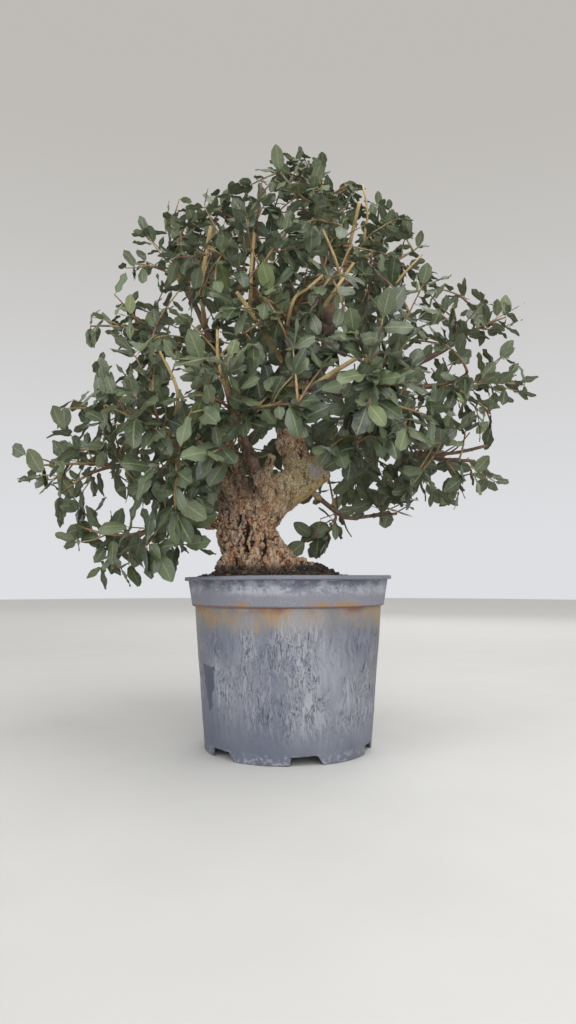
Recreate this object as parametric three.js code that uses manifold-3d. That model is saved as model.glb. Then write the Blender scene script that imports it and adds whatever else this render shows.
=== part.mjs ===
// Cork oak bonsai in its growing pot: a short leaning corky trunk, a leader and limbs, leafy sprays,
// the soil block and a round plastic pot with six drain notches. Millimetres, +Z up, the origin at the
// middle of the pot's foot, and the side that is looked at first faces -Y.

import * as THREE from 'three';
import { mergeVertices } from 'three/addons/utils/BufferGeometryUtils.js';
import Module from 'manifold-3d';

const wasm = await Module();
wasm.setup();

// Pot
const potHeight = 178;
const footRadius = 87;
const bodyTopRadius = 98.7;
const collarFootRadius = 102;
const collarTopRadius = 106;
const lipRadius = 110;
const lipHeight = 4;
const collarHeight = 27;
const wall = 1.8;
const floorUnderside = 9;
const potSides = 28;
const notchCount = 6;
const notchTurn = 12;
const notchFootWidth = 33;
const notchTopWidth = 27;
const notchHeight = 8.4;
const drainInner = 70;
const drainOuter = 81;

// Soil
const seat = 0.3;
const soilEdgeDrop = 5;
const moundRise = 6.5;
const moundX = -18;
const moundTop = 50;
const moundFoot = 94;
const soilRoughness = 0.8;

// Trunk: centre line x, y, z and the half width across the lean and half depth along y of each ring
const trunkRings = [
  { at: [-30, 0, 150], half: [24, 24] },
  { at: [-27, 0, 172], half: [45, 42] },
  { at: [-31, 0, 186], half: [41, 38] },
  { at: [-38, 0, 204], half: [35, 34] },
  { at: [-44, 0, 224], half: [32, 31] },
  { at: [-47, 1, 244], half: [30, 29] },
  { at: [-50, 2, 260], half: [23, 25] },
  { at: [-50, 3, 271], half: [12, 14] },
];
const armRings = [
  { at: [-44, 0, 224], half: [22, 24] },
  { at: [-34, 0, 244], half: [27, 26] },
  { at: [-17, 0, 260], half: [23, 23] },
  { at: [1, 1, 272], half: [20, 20] },
  { at: [18, 3, 283], half: [18.5, 18] },
  { at: [31, 4, 294], half: [17, 16] },
  { at: [38, 4, 302], half: [10, 10] },
];
const surfaceRoots = [
  { points: [[-20, -4, 206], [2, -8, 190], [24, -12, 181], [44, -15, 170]], radii: [14, 7] },
  { points: [[-48, -8, 204], [-63, -14, 190], [-76, -20, 171]], radii: [14, 7] },
  { points: [[-36, -14, 204], [-38, -34, 188], [-40, -52, 170]], radii: [14, 7] },
  { points: [[-12, -14, 198], [2, -30, 183], [12, -42, 170]], radii: [11, 6] },
  { points: [[-30, 14, 204], [-28, 36, 186], [-25, 54, 170]], radii: [14, 7] },
  { points: [[-56, 12, 202], [-70, 24, 186], [-80, 34, 171]], radii: [12, 6] },
  { points: [[-14, 12, 200], [8, 26, 184], [24, 38, 170]], radii: [11, 6] },
];
const barkRelief = 0.05;
const trunkSides = 12;
const rootSides = 5;
const rootSteps = 2;
const stoutRadius = 10;
const stoutSides = 8;
const limbSides = 4;

// Leader and limbs: the points that each follows, and its radius at its root and at its end
const limbs = {
  leader: {
    points: [[16, 6, 286], [6, 14, 318], [1, 20, 342], [14, 30, 388], [42, 30, 424], [50, 26, 462],
      [44, 15, 520], [33, 5, 570], [26, 0, 606]],
    radii: [15, 2.4],
  },
  left_low: {
    points: [[-60, -4, 236], [-88, -16, 231], [-122, -34, 229], [-152, -46, 220]],
    radii: [5, 2.2],
  },
  left_far: {
    points: [[-56, -4, 256], [-95, -20, 275], [-142, -30, 288], [-188, -36, 292]],
    radii: [6.5, 2.2],
  },
  left_mid: {
    points: [[-52, 4, 262], [-78, 10, 306], [-118, 8, 338], [-168, -2, 352]],
    radii: [6.5, 2.2],
  },
  left_up: {
    points: [[-44, 2, 262], [-66, -4, 320], [-92, -5, 378], [-122, 0, 422], [-150, 0, 440]],
    radii: [6.5, 2.2],
  },
  left_high: {
    points: [[-28, 6, 264], [-50, 8, 330], [-72, 8, 400], [-96, 6, 462], [-116, 4, 498]],
    radii: [7, 2.2],
  },
  front_left: {
    points: [[-52, -14, 250], [-72, -56, 280], [-96, -92, 296], [-116, -114, 308]],
    radii: [6, 2.2],
  },
  front_low: {
    points: [[-22, -12, 258], [-32, -62, 284], [-40, -106, 304], [-46, -138, 318]],
    radii: [5.5, 2.2],
  },
  front_right: {
    points: [[30, -2, 292], [48, -46, 312], [62, -92, 330], [72, -126, 342]],
    radii: [6, 2.2],
  },
  front_crown: {
    points: [[1, 20, 342], [0, -35, 362], [-4, -80, 388], [2, -108, 416], [12, -122, 440],
      [30, -130, 456]],
    radii: [5.5, 1.9],
  },
  front_high: {
    points: [[49, 26, 452], [25, -30, 448], [-6, -76, 438], [-33, -104, 448], [-33, -114, 482],
      [-30, -120, 516]],
    radii: [5, 1.9],
  },
  front_top: {
    points: [[46, 18, 500], [42, -32, 506], [34, -74, 516]],
    radii: [4.2, 2.1],
  },
  right_low: {
    points: [[30, 6, 292], [54, 22, 312], [78, 28, 332], [104, 30, 336], [124, 30, 317], [158, 30, 312],
      [186, 30, 306]],
    radii: [4.6, 2.2],
  },
  right_mid: {
    points: [[16, 30, 388], [56, 14, 400], [101, 2, 394], [145, 4, 385], [190, 10, 391]],
    radii: [6, 2.3],
  },
  right_up: {
    points: [[101, 2, 394], [140, 12, 412], [172, 14, 428], [196, 14, 444]],
    radii: [4.4, 2.2],
  },
  right_high: {
    points: [[46, 20, 496], [78, 12, 512], [108, 8, 524]],
    radii: [4.2, 2.1],
  },
  back_left: {
    points: [[-46, 16, 252], [-66, 58, 296], [-88, 98, 334], [-104, 126, 360]],
    radii: [7, 2.3],
  },
  back_mid: {
    points: [[1, 20, 342], [-6, 66, 366], [-14, 112, 384], [-16, 146, 394]],
    radii: [6.5, 2.3],
  },
  back_right: {
    points: [[18, 30, 392], [54, 70, 396], [88, 104, 396], [108, 128, 396]],
    radii: [6.5, 2.3],
  },
  back_top: {
    points: [[50, 26, 470], [34, 64, 496], [20, 98, 512]],
    radii: [4.6, 2.1],
  },
  low_twig: {
    points: [[20, 14, 276], [36, 34, 264], [52, 40, 252], [68, 44, 243], [98, 50, 246], [126, 58, 249]],
    radii: [3.2, 1.7],
  },
};
const prunedStubs = [
  { points: [[-27, -8, 262], [-24, -9, 284], [-17, -10, 306]], radii: [8, 3.6] },
  { points: [[33, 1, 292], [34.5, 0, 306], [33, -1, 317]], radii: [7.5, 3.6] },
  { points: [[-3, -76, 386], [-20, -114, 402], [-46, -148, 432]], radii: [2.4, 1.9] },
  { points: [[-92, 6, 452], [-92, -30, 486], [-80, -58, 538]], radii: [2.6, 1.9] },
  { points: [[62, 16, 508], [66, -30, 530], [74, -62, 562]], radii: [2.4, 1.8] },
  { points: [[154, 30, 313], [192, 36, 317], [231, 36, 326]], radii: [2.2, 1.7] },
  { points: [[146, 30, 314], [176, 16, 306], [206, 10, 303]], radii: [2.0, 1.6] },
];

// Leafy shoots: the limb that each spray leaves, how far along it, and the points its shoots reach
const sprays = [
  ['left_low', 0.45, [[-130, -112, 206], [-88, -92, 200]]],
  ['left_low', 0.84, [[-174, -62, 184]]],
  ['left_low', 1, [[-212, -50, 228], [-180, -16, 206]]],
  ['left_far', 1, [[-252, -39, 291]]],
  ['left_far', 0.86, [[-226, -66, 258]]],
  ['left_far', 0.66, [[-176, -96, 312]]],
  ['left_mid', 1, [[-244, -10, 357]]],
  ['left_mid', 0.84, [[-198, -34, 396]]],
  ['left_mid', 0.72, [[-186, 72, 318]]],
  ['left_up', 1, [[-218, 0, 452], [-172, 58, 462]]],
  ['left_up', 0.72, [[-158, -76, 436], [-128, -96, 398]]],
  ['left_high', 1, [[-172, 0, 524]]],
  ['left_high', 0.94, [[-136, 8, 584], [-104, -40, 560]]],
  ['left_high', 0.84, [[-66, -14, 588]]],
  ['left_high', 0.9, [[-78, 84, 556]]],
  ['front_left', 1, [[-164, -142, 330]]],
  ['front_left', 0.84, [[-118, -152, 372]]],
  ['front_left', 0.6, [[-96, -156, 262]]],
  ['front_low', 1, [[-84, -198, 330], [-44, -208, 366]]],
  ['front_low', 0.74, [[-58, -166, 262]]],
  ['front_low', 0.86, [[8, -196, 318]]],
  ['front_right', 1, [[70, -196, 336], [46, -212, 382]]],
  ['front_right', 0.78, [[132, -126, 322]]],
  ['front_right', 0.56, [[64, -128, 284]]],
  ['front_right', 0.88, [[112, -128, 420]]],
  ['front_crown', 0.5, [[-34, -182, 418], [-80, -128, 362]]],
  ['front_crown', 0.62, [[52, -176, 438]]],
  ['front_high', 0.5, [[4, -164, 486]]],
  ['front_high', 0.62, [[-92, -134, 486], [-70, -94, 520]]],
  ['front_top', 1, [[22, -124, 552], [64, -126, 500]]],
  ['front_top', 0.7, [[110, -84, 492]]],
  ['leader', 1, [[4, 0, 632], [46, 22, 626]]],
  ['leader', 0.88, [[78, -30, 604], [-14, -44, 606]]],
  ['right_high', 1, [[146, 10, 546], [132, 66, 506]]],
  ['right_high', 0.7, [[94, 22, 596]]],
  ['right_up', 1, [[244, 10, 466], [198, 20, 496]]],
  ['right_up', 0.6, [[168, -62, 452]]],
  ['right_mid', 1, [[248, 20, 392]]],
  ['right_mid', 0.84, [[214, -26, 348]]],
  ['right_mid', 0.66, [[176, -84, 376]]],
  ['right_mid', 0.78, [[196, 84, 396]]],
  ['right_low', 1, [[236, 30, 284]]],
  ['right_low', 0.86, [[180, -18, 268]]],
  ['right_low', 0.6, [[134, -72, 282]]],
  ['right_low', 0.74, [[172, 96, 316]]],
  ['low_twig', 0.8, [[124, 52, 298]]],
  ['low_twig', 0.36, [[36, 66, 216]]],
  ['back_left', 1, [[-152, 176, 382], [-112, 178, 430]]],
  ['back_left', 0.76, [[-168, 124, 304]]],
  ['back_left', 0.6, [[-100, 160, 270], [-46, 164, 296]]],
  ['back_mid', 1, [[-46, 206, 402], [22, 206, 372]]],
  ['back_mid', 0.86, [[-24, 184, 470]]],
  ['back_right', 1, [[150, 178, 392], [98, 190, 438]]],
  ['back_right', 0.78, [[104, 180, 320]]],
  ['back_right', 0.56, [[70, 124, 276]]],
  ['back_top', 1, [[-16, 142, 556], [52, 158, 524]]],
  ['back_top', 0.6, [[74, 84, 582]]],
];
const sprayReach = 96;
const leastFoot = 0.14;
const shootBend = 0.42;
const swerveStep = 7;
const twigRootRadius = 2.4;
const twigJointRadius = 2.1;
const twigTipRadius = 1.4;
const twigSides = 3;
const shootSteps = 2;
const forkPlace = 0.16;
const forkRadius = 1.8;

// Leaves
const leavesPerShoot = 4;
const leafPoints = 12;
const leafLength = [30, 40];
const leafBreadth = 0.58;
const leafTopPlace = 0.26;
const leafNeckLength = 3.6;
const leafNeckHalf = 1.6;
const leafHalfThickness = 0.75;
const leafSink = 0.7;
const leafKeel = [0.1, 0.26];
const leafDroop = [0.02, 0.2];
const leafWave = [0.3, 1.2];
const leafyStretch = [0.22, 0.94];
const leafSpread = [0.75, 1.1];
const lastSpread = 0.25;
const leafTilt = 0.5;
const turnStep = 0.5;
const tooth = 0.11;
const clearance = 0.45;
const attempts = 9;

const crownMiddle = new THREE.Vector3(0, 0, 360);
const skyward = new THREE.Vector3(0, 0, 1);
const group = new THREE.Group();

const colours = {
  pot: { color: 0x878a94, roughness: 0.62, metalness: 0 },
  soil: { color: 0x3a3331, roughness: 0.97, metalness: 0 },
  wood: { color: 0x84705c, roughness: 0.92, metalness: 0 },
  leaf: { color: 0x55664e, roughness: 0.6, metalness: 0 },
};

// A repeatable number from 0 to 1 for any row of whole numbers
function chance(...keys) {
  let mix = 2166136261;
  for (const key of keys) {
    mix = Math.imul(mix ^ (key + 101), 2654435761) >>> 0;
    mix = (mix ^ (mix >>> 15)) >>> 0;
    mix = Math.imul(mix, 2246822519) >>> 0;
    mix = (mix ^ (mix >>> 13)) >>> 0;
  }
  return mix / 4294967296;
}

function between(low, high, share) {
  return low + (high - low) * share;
}

function vector(point) {
  return new THREE.Vector3(...point);
}

function spline(points) {
  return new THREE.CatmullRomCurve3(points.map(vector), false, 'catmullrom', 0.5);
}

// A curve followed in straight steps, which is where a rod with as many steps has its axis
class Stepped extends THREE.Curve {
  constructor(whole, steps) {
    super();
    this.whole = whole;
    this.steps = steps;
  }

  getPoint(t) {
    const step = Math.min(Math.floor(t * this.steps), this.steps - 1);
    const from = this.whole.getPoint(step / this.steps);
    return from.lerp(this.whole.getPoint((step + 1) / this.steps), t * this.steps - step);
  }

  getTangent(t) {
    return this.whole.getTangent(t);
  }
}

function limbRoute(name) {
  const { points } = limbs[name];
  return new Stepped(spline(points), points.length - 1);
}

// The same shape with every corner moved by a rule
function reshaped(geometry, rule) {
  const places = geometry.attributes.position;
  const corner = new THREE.Vector3();
  for (let i = 0; i < places.count; i += 1) {
    corner.fromBufferAttribute(places, i);
    const moved = rule(corner.clone());
    places.setXYZ(i, moved.x, moved.y, moved.z);
  }
  return geometry;
}

function solidOf(geometry) {
  const bare = geometry.clone();
  bare.deleteAttribute('normal');
  bare.deleteAttribute('uv');
  const merged = mergeVertices(bare, 1e-3);
  const corners = Array.from(merged.index.array);
  const kept = [];
  for (let i = 0; i < corners.length; i += 3) {
    const [a, b, c] = corners.slice(i, i + 3);
    if (a !== b && b !== c && c !== a) {
      kept.push(a, b, c);
    }
  }
  const vertProperties = new Float32Array(merged.attributes.position.array);
  const triVerts = new Uint32Array(kept);
  return new wasm.Manifold(new wasm.Mesh({ numProp: 3, vertProperties, triVerts }));
}

function joined(solids) {
  return solids.reduce((sum, next) => sum.add(next));
}

function addNode(name, solid, finish) {
  const mesh = solid.getMesh();
  const geometry = new THREE.BufferGeometry();
  geometry.setAttribute('position', new THREE.BufferAttribute(mesh.vertProperties, 3));
  geometry.setIndex(new THREE.BufferAttribute(mesh.triVerts, 1));
  const node = new THREE.Mesh(geometry, new THREE.MeshStandardMaterial(colours[finish]));
  node.name = name;
  group.add(node);
}

// The two directions across a curve at t, which turn with it from one guide
function frameAt(curve, t, guide) {
  const chord = curve.getPoint(1).sub(curve.getPoint(0)).normalize();
  const plainGuide = Math.abs(chord.y) > 0.75 ? new THREE.Vector3(1, 0, 0) : new THREE.Vector3(0, 1, 0);
  const aside = guide ?? plainGuide;
  const tangent = curve.getTangent(t).normalize();
  const across = aside.clone().cross(tangent).normalize();
  const depth = across.clone().cross(tangent);
  return { tangent, across, depth };
}

// A rod along a curve: halves(t) gives its half width and half depth, relief(angle, t) its bumps
function rod(curve, halves, sides, steps, { guide, pointed = false, relief = () => 1 } = {}) {
  const shape = new THREE.CylinderGeometry(pointed ? 0 : 1, 1, 1, sides, steps);
  const bent = reshaped(shape, (corner) => {
    const t = Math.min(1, Math.max(0, corner.y + 0.5));
    const { across, depth } = frameAt(curve, t, guide);
    const [width, thickness] = halves(t);
    const taper = pointed && t < 1 ? 1 / Math.max(1 - t, 1e-6) : 1;
    const bump = relief(Math.atan2(corner.z, corner.x), t);
    const place = curve.getPoint(t);
    place.addScaledVector(across, corner.x * taper * width * bump);
    place.addScaledVector(depth, corner.z * taper * thickness * bump);
    return place;
  });
  return solidOf(bent);
}

function taperedRod(curve, [rootRadius, endRadius], sides, steps, options) {
  const halves = (t) => {
    const radius = between(rootRadius, endRadius, t);
    return [radius, radius];
  };
  return rod(curve, halves, sides, steps, options);
}

// Pot: one wall turned round the axis, with notches through its foot and slots through its floor
const collarFoot = potHeight - lipHeight - collarHeight;
const stepTop = collarFoot + wall;
const floorTop = floorUnderside + wall;

function footWallRadius(height) {
  return between(footRadius, bodyTopRadius, height / collarFoot);
}

function turned(profile, sides) {
  const points = profile.map(([radius, height]) => new THREE.Vector2(radius, height));
  return new THREE.LatheGeometry(points, sides).rotateX(Math.PI / 2);
}

// A prism whose outline stands across the radius, from one radius to another, facing -Y
function radialPrism(outline, from, to) {
  const shape = new THREE.Shape(outline.map(([x, y]) => new THREE.Vector2(x, y)));
  const prism = new THREE.ExtrudeGeometry(shape, { depth: to - from, bevelEnabled: false });
  return prism.translate(0, 0, from).rotateX(Math.PI / 2);
}

function potSolid() {
  const profile = [
    [0, floorUnderside],
    [footWallRadius(floorUnderside) - wall, floorUnderside],
    [footRadius - wall, 0],
    [footRadius, 0],
    [bodyTopRadius, collarFoot],
    [collarFootRadius, collarFoot],
    [collarTopRadius, potHeight - lipHeight],
    [lipRadius, potHeight - lipHeight],
    [lipRadius, potHeight],
    [collarTopRadius - wall, potHeight],
    [collarFootRadius - wall, stepTop],
    [bodyTopRadius - wall, stepTop],
    [footWallRadius(floorTop) - wall, floorTop],
    [0, floorTop],
  ];
  const notchOutline = [
    [-notchFootWidth / 2, -1],
    [notchFootWidth / 2, -1],
    [notchTopWidth - notchFootWidth / 2, notchHeight],
    [-notchFootWidth / 2, notchHeight],
  ];
  const slotOutline = [
    [-notchTopWidth / 2, 1],
    [notchTopWidth / 2, 1],
    [notchTopWidth / 2, floorTop + 1],
    [-notchTopWidth / 2, floorTop + 1],
  ];
  let pot = solidOf(turned(profile, potSides));
  for (let i = 0; i < notchCount; i += 1) {
    const turn = THREE.MathUtils.degToRad(notchTurn + (i * 360) / notchCount);
    const notch = radialPrism(notchOutline, drainOuter + 1, lipRadius).rotateZ(turn);
    const slot = radialPrism(slotOutline, drainInner, drainOuter).rotateZ(turn);
    pot = pot.subtract(solidOf(notch)).subtract(solidOf(slot));
  }
  return pot;
}

// Trunk: the leaning mass, the arm that rises to the right and the roots on the soil
function grownAt(point, previous, grow) {
  const end = vector(point);
  return end.addScaledVector(end.clone().sub(vector(previous)).normalize(), grow).toArray();
}

function ringRod(rings, grow) {
  const points = rings.map((ring) => ring.at);
  const line = spline([grownAt(points[0], points[1], grow), ...points.slice(1)]);
  const sizes = spline(rings.map((ring) => [ring.half[0] + grow, ring.half[1] + grow, 0]));
  const halves = (t) => sizes.getPoint(t).toArray();
  const relief = (angle, t) => {
    const ridges = Math.sin(5 * angle + 9 * t) + 0.6 * Math.sin(8 * angle - 17 * t);
    return 1 + barkRelief * ridges;
  };
  const guide = new THREE.Vector3(0, 1, 0);
  return rod(line, halves, trunkSides, rings.length - 1, { guide, relief });
}

function rootRod({ points, radii }, grow) {
  const last = points.length - 1;
  const ends = [...points.slice(0, last), grownAt(points[last], points[last - 1], grow)];
  return taperedRod(spline(ends), [radii[0] + grow, radii[1] + grow], rootSides, rootSteps);
}

function trunkSolids(grow = 0) {
  const roots = surfaceRoots.map((root) => rootRod(root, grow));
  return [ringRod(trunkRings, grow), ringRod(armRings, grow), ...roots];
}

function limbSolid({ points, radii }) {
  const sides = radii[0] > stoutRadius ? stoutSides : limbSides;
  return taperedRod(spline(points), radii, sides, points.length - 1);
}

// Soil: it fills the pot to just under the rim and rises to the trunk
function soilTop(x, y) {
  const fromTrunk = Math.hypot(x - moundX, y);
  const mound = moundRise * (1 - THREE.MathUtils.smoothstep(fromTrunk, moundTop, moundFoot));
  const crumbs = Math.sin(x * 0.31 + 1) * Math.cos(y * 0.27) + 0.6 * Math.sin(x * 0.13 - y * 0.17);
  return potHeight - soilEdgeDrop + mound + soilRoughness * crumbs;
}

function soilSolid() {
  const edge = potHeight - soilEdgeDrop;
  const edgeShare = (edge - stepTop) / (potHeight - stepTop);
  const edgeRadius = between(collarFootRadius, collarTopRadius, edgeShare) - wall - seat;
  const profile = [
    [0, floorTop + seat],
    [footWallRadius(floorTop) - wall - seat, floorTop + seat],
    [bodyTopRadius - wall - seat, stepTop + seat],
    [collarFootRadius - wall - seat, stepTop + seat],
    [edgeRadius, edge],
    [edgeRadius * 0.78, edge],
    [edgeRadius * 0.54, edge],
    [edgeRadius * 0.28, edge],
    [0, edge],
  ];
  const block = reshaped(turned(profile, potSides), (corner) => {
    const inside = Math.hypot(corner.x, corner.y) < edgeRadius * 0.9 && corner.z > stepTop + 1;
    return inside ? corner.setZ(soilTop(corner.x, corner.y)) : corner;
  });
  return solidOf(block).subtract(joined(trunkSolids(seat)));
}

// What has its place already, kept with its box, so that nothing of another node is put through it
const placed = [];

function settle(name, solid, shoot = -1) {
  placed.push({ name, shoot, solid, box: solid.boundingBox() });
}

function boxesMeet(a, b) {
  return [0, 1, 2].every((axis) => a.min[axis] <= b.max[axis] && b.min[axis] <= a.max[axis]);
}

function isClear(solid, mayTouch) {
  const box = solid.boundingBox();
  return placed.every((other) => mayTouch(other) || !boxesMeet(other.box, box)
    || other.solid.intersect(solid).isEmpty());
}

// A shoot: a bow from its limb to its tip, whose outer part is the leafy spray
class Stretch extends THREE.Curve {
  constructor(whole, from, to) {
    super();
    this.whole = whole;
    this.from = from;
    this.to = to;
  }

  getPoint(t) {
    return this.whole.getPoint(between(this.from, this.to, t));
  }

  getTangent(t) {
    return this.whole.getTangent(between(this.from, this.to, t));
  }
}

function shootBow(start, heading, tip, swerve = new THREE.Vector3()) {
  const reach = start.distanceTo(tip);
  const control = start.clone().addScaledVector(heading, shootBend * reach).add(swerve);
  return new THREE.QuadraticBezierCurve3(start, control, tip);
}

function bowLength(bow) {
  const legs = bow.v0.distanceTo(bow.v1) + bow.v1.distanceTo(bow.v2);
  return (legs + bow.v0.distanceTo(bow.v2)) / 2;
}

// A shoot's curves: its woody foot, if it is long, and the spray's own shoots, a short gap further on
function shootPlan([limbName, place, tips], swerve) {
  const route = limbRoute(limbName);
  const leavesEnd = place === 1;
  const bow = shootBow(route.getPoint(place), route.getTangent(place), vector(tips[0]), swerve);
  const joint = Math.max(leavesEnd ? 0 : leastFoot, 1 - sprayReach / bowLength(bow));
  const nudge = 0.01;
  const pace = bow.getPoint(joint + nudge).distanceTo(bow.getPoint(joint)) / nudge;
  const main = new Stretch(bow, joint + seat / pace, 1);
  const fork = new Stepped(main, shootSteps).getPoint(forkPlace);
  const forks = tips.slice(1).map((tip) => shootBow(fork, main.getTangent(forkPlace), vector(tip)));
  const limbEnd = limbs[limbName].radii[1];
  const footRadii = [leavesEnd ? limbEnd : twigRootRadius, twigJointRadius];
  const radiiOf = (branch) => [branch ? forkRadius : joint > 0 ? twigJointRadius : limbEnd, twigTipRadius];
  const foot = joint > 0 ? taperedRod(new Stretch(bow, 0, joint), footRadii, twigSides, 1) : null;
  const curves = [main, ...forks];
  const rods = curves.map((curve, branch) => taperedRod(curve, radiiOf(branch), twigSides, shootSteps));
  return { foot, curves, rods };
}

function swerveOf(n, attempt) {
  const span = swerveStep * attempt;
  const [x, y, z] = [0, 1, 2].map((axis) => between(-span, span, chance(n, attempt, axis, 11)));
  return new THREE.Vector3(x, y, z);
}

// The first of a row of tries that a test accepts, or nothing
function firstClear(make, test) {
  for (let attempt = 0; attempt < attempts; attempt += 1) {
    const made = make(attempt);
    if (test(made)) {
      return made;
    }
  }
  return null;
}

function growShoot(name, spray, n) {
  const isWood = (other) => other.name === 'wood';
  const isOwn = (other) => other.name === name;
  const plan = firstClear(
    (attempt) => shootPlan(spray, swerveOf(n, attempt)),
    ({ foot, rods }) => (!foot || isClear(foot, isWood)) && rods.every((solid) => isClear(solid, isOwn)),
  );
  if (!plan) {
    throw new Error(`${name} finds no clear way`);
  }
  if (plan.foot) {
    woodSolids.push(plan.foot);
    settle('wood', plan.foot);
  }
  plan.rods.forEach((solid, branch) => settle(name, solid, branch));
  return { name, n, curves: plan.curves, solids: plan.rods };
}

// A toothed blade, raised from a two-pointed lens: it is keeled along its rib and bows down to its tip
function bladeSolid({ root, along, up }, length, keys, extra = 0) {
  const across = along.clone().cross(up);
  const keel = between(...leafKeel, chance(...keys, 1));
  const droop = between(...leafDroop, chance(...keys, 2));
  const wave = between(...leafWave, chance(...keys, 3));
  const half = (length * leafBreadth) / 2;
  const placeAt = (run, side, height) => root.clone().addScaledVector(along, run - leafSink)
    .addScaledVector(across, side).addScaledVector(up, height);
  const bow = (run) => (-droop * run * run) / length;
  const rule = (corner) => {
    const step = Math.round((Math.atan2(corner.z, corner.x) / (2 * Math.PI)) * leafPoints);
    const fromTip = Math.abs(step);
    if (Math.abs(corner.y) > 0.5) {
      const run = leafTopPlace * length;
      return placeAt(run, 0, bow(run) + Math.sign(corner.y) * (leafHalfThickness + extra));
    }
    if (fromTip === 0 || fromTip === leafPoints / 2) {
      const run = fromTip === 0 ? length + extra : 0;
      return placeAt(run, 0, bow(run));
    }
    if (fromTip === leafPoints / 2 - 1) {
      return placeAt(leafNeckLength, Math.sign(corner.z) * (leafNeckHalf + extra), 0);
    }
    const run = ((corner.x + 1) / 2) * length;
    const bite = (step > 0 ? step : step + 1) % 2 === 0 ? -tooth : tooth;
    const side = corner.z * half * (1 + bite) + Math.sign(corner.z) * extra;
    const ripple = wave * Math.sin(step * 2.1 + keys[1]) * Math.abs(corner.z);
    return placeAt(run, side, bow(run) + keel * Math.abs(side) + ripple);
  };
  return solidOf(reshaped(new THREE.SphereGeometry(1, leafPoints, 2), rule));
}

// Where a leaf sits: it leaves the middle of a face of its twig, and turns its top to the light
function leafPose(curve, j, leaves, keys, turn) {
  const isLast = j === leaves - 1;
  const share = (j + 0.6 * chance(...keys, 4)) / (leaves - 1);
  const u = isLast ? 1 : between(...leafyStretch, share);
  const root = new Stepped(curve, shootSteps).getPoint(u);
  const { tangent, across, depth } = frameAt(curve, u);
  const azimuth = ((2 * j + 1) * Math.PI) / twigSides + turn;
  const spread = isLast ? lastSpread * (1 + Math.abs(turn)) : between(...leafSpread, chance(...keys, 5));
  const along = tangent.clone().multiplyScalar(Math.cos(spread));
  along.addScaledVector(across, Math.sin(azimuth) * Math.sin(spread));
  along.addScaledVector(depth, Math.cos(azimuth) * Math.sin(spread)).normalize();
  const outward = root.clone().sub(crownMiddle).normalize();
  const up = skyward.clone().add(outward);
  up.x += between(-leafTilt, leafTilt, chance(...keys, 8));
  up.y += between(-leafTilt, leafTilt, chance(...keys, 9));
  up.addScaledVector(along, -up.dot(along)).normalize();
  return { root, along, up };
}

// Leaves: each is turned until it is clear of all but the twig that it grows from, or left out
function growLeaf({ name, n, curves, solids }, branch, j, leaves) {
  const keys = [n, j, branch];
  const length = between(...leafLength, chance(...keys, 6));
  const isOwnTwig = (other) => other.name === name && other.shoot === branch;
  const leaf = firstClear(
    (attempt) => {
      const turn = Math.ceil(attempt / 2) * (attempt % 2 ? turnStep : -turnStep);
      const pose = leafPose(curves[branch], j, leaves, keys, turn);
      return { pose, probe: bladeSolid(pose, length, keys, clearance) };
    },
    ({ probe }) => isClear(probe, isOwnTwig),
  );
  if (leaf) {
    const blade = bladeSolid(leaf.pose, length, keys);
    solids.push(blade);
    settle(name, blade);
  }
}

const pot = potSolid();
const soil = soilSolid();
const limbSolids = [...Object.values(limbs), ...prunedStubs].map(limbSolid);
const woodSolids = [...trunkSolids(), ...limbSolids];
settle('pot', pot);
settle('soil', soil);
woodSolids.forEach((solid) => settle('wood', solid));

const counts = {};
const growths = sprays.map((spray, n) => {
  const [limbName] = spray;
  counts[limbName] = (counts[limbName] ?? 0) + 1;
  return growShoot(`spray_${limbName}_${counts[limbName]}`, spray, n);
});
growths.forEach((growth) => {
  growth.curves.forEach((curve, branch) => {
    const leaves = leavesPerShoot - branch;
    for (let j = 0; j < leaves; j += 1) {
      growLeaf(growth, branch, j, leaves);
    }
  });
});

addNode('pot', pot, 'pot');
addNode('soil', soil, 'soil');
addNode('wood', joined(woodSolids), 'wood');
growths.forEach(({ name, solids }) => addNode(name, joined(solids), 'leaf'));

export default group;
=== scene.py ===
# %% [markdown]
# This object is a cork oak kept as a bonsai: a short corky trunk that leans to the right, a wide crown
# of small leathery leaves, dark growing mix, and the round grey pot of thin plastic that it stands in.
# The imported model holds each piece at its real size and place, in metres, with the middle of the pot's
# foot at the origin. We keep that frame and give each piece the surface that the real one has.

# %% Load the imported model
import math
import random

import bmesh
import bpy
from mathutils import Matrix, Vector, geometry, kdtree, noise


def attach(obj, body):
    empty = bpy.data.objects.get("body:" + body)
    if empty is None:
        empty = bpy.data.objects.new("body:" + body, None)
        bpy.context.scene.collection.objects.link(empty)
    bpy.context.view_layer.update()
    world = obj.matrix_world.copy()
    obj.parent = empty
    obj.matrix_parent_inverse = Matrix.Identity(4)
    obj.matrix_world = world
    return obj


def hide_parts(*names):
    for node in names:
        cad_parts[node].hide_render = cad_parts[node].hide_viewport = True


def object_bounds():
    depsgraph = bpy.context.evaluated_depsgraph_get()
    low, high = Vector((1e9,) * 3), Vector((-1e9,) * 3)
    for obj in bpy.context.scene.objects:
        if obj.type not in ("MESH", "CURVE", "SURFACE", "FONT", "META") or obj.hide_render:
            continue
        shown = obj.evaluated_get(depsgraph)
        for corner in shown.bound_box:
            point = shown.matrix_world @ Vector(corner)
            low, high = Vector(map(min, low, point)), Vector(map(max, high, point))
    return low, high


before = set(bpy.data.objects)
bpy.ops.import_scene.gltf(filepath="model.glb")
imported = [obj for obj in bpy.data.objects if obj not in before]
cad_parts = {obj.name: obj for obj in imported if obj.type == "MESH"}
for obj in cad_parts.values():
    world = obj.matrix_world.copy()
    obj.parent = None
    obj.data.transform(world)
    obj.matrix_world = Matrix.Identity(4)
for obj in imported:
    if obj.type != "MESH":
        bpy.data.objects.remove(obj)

cad_low, cad_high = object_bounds()
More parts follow.
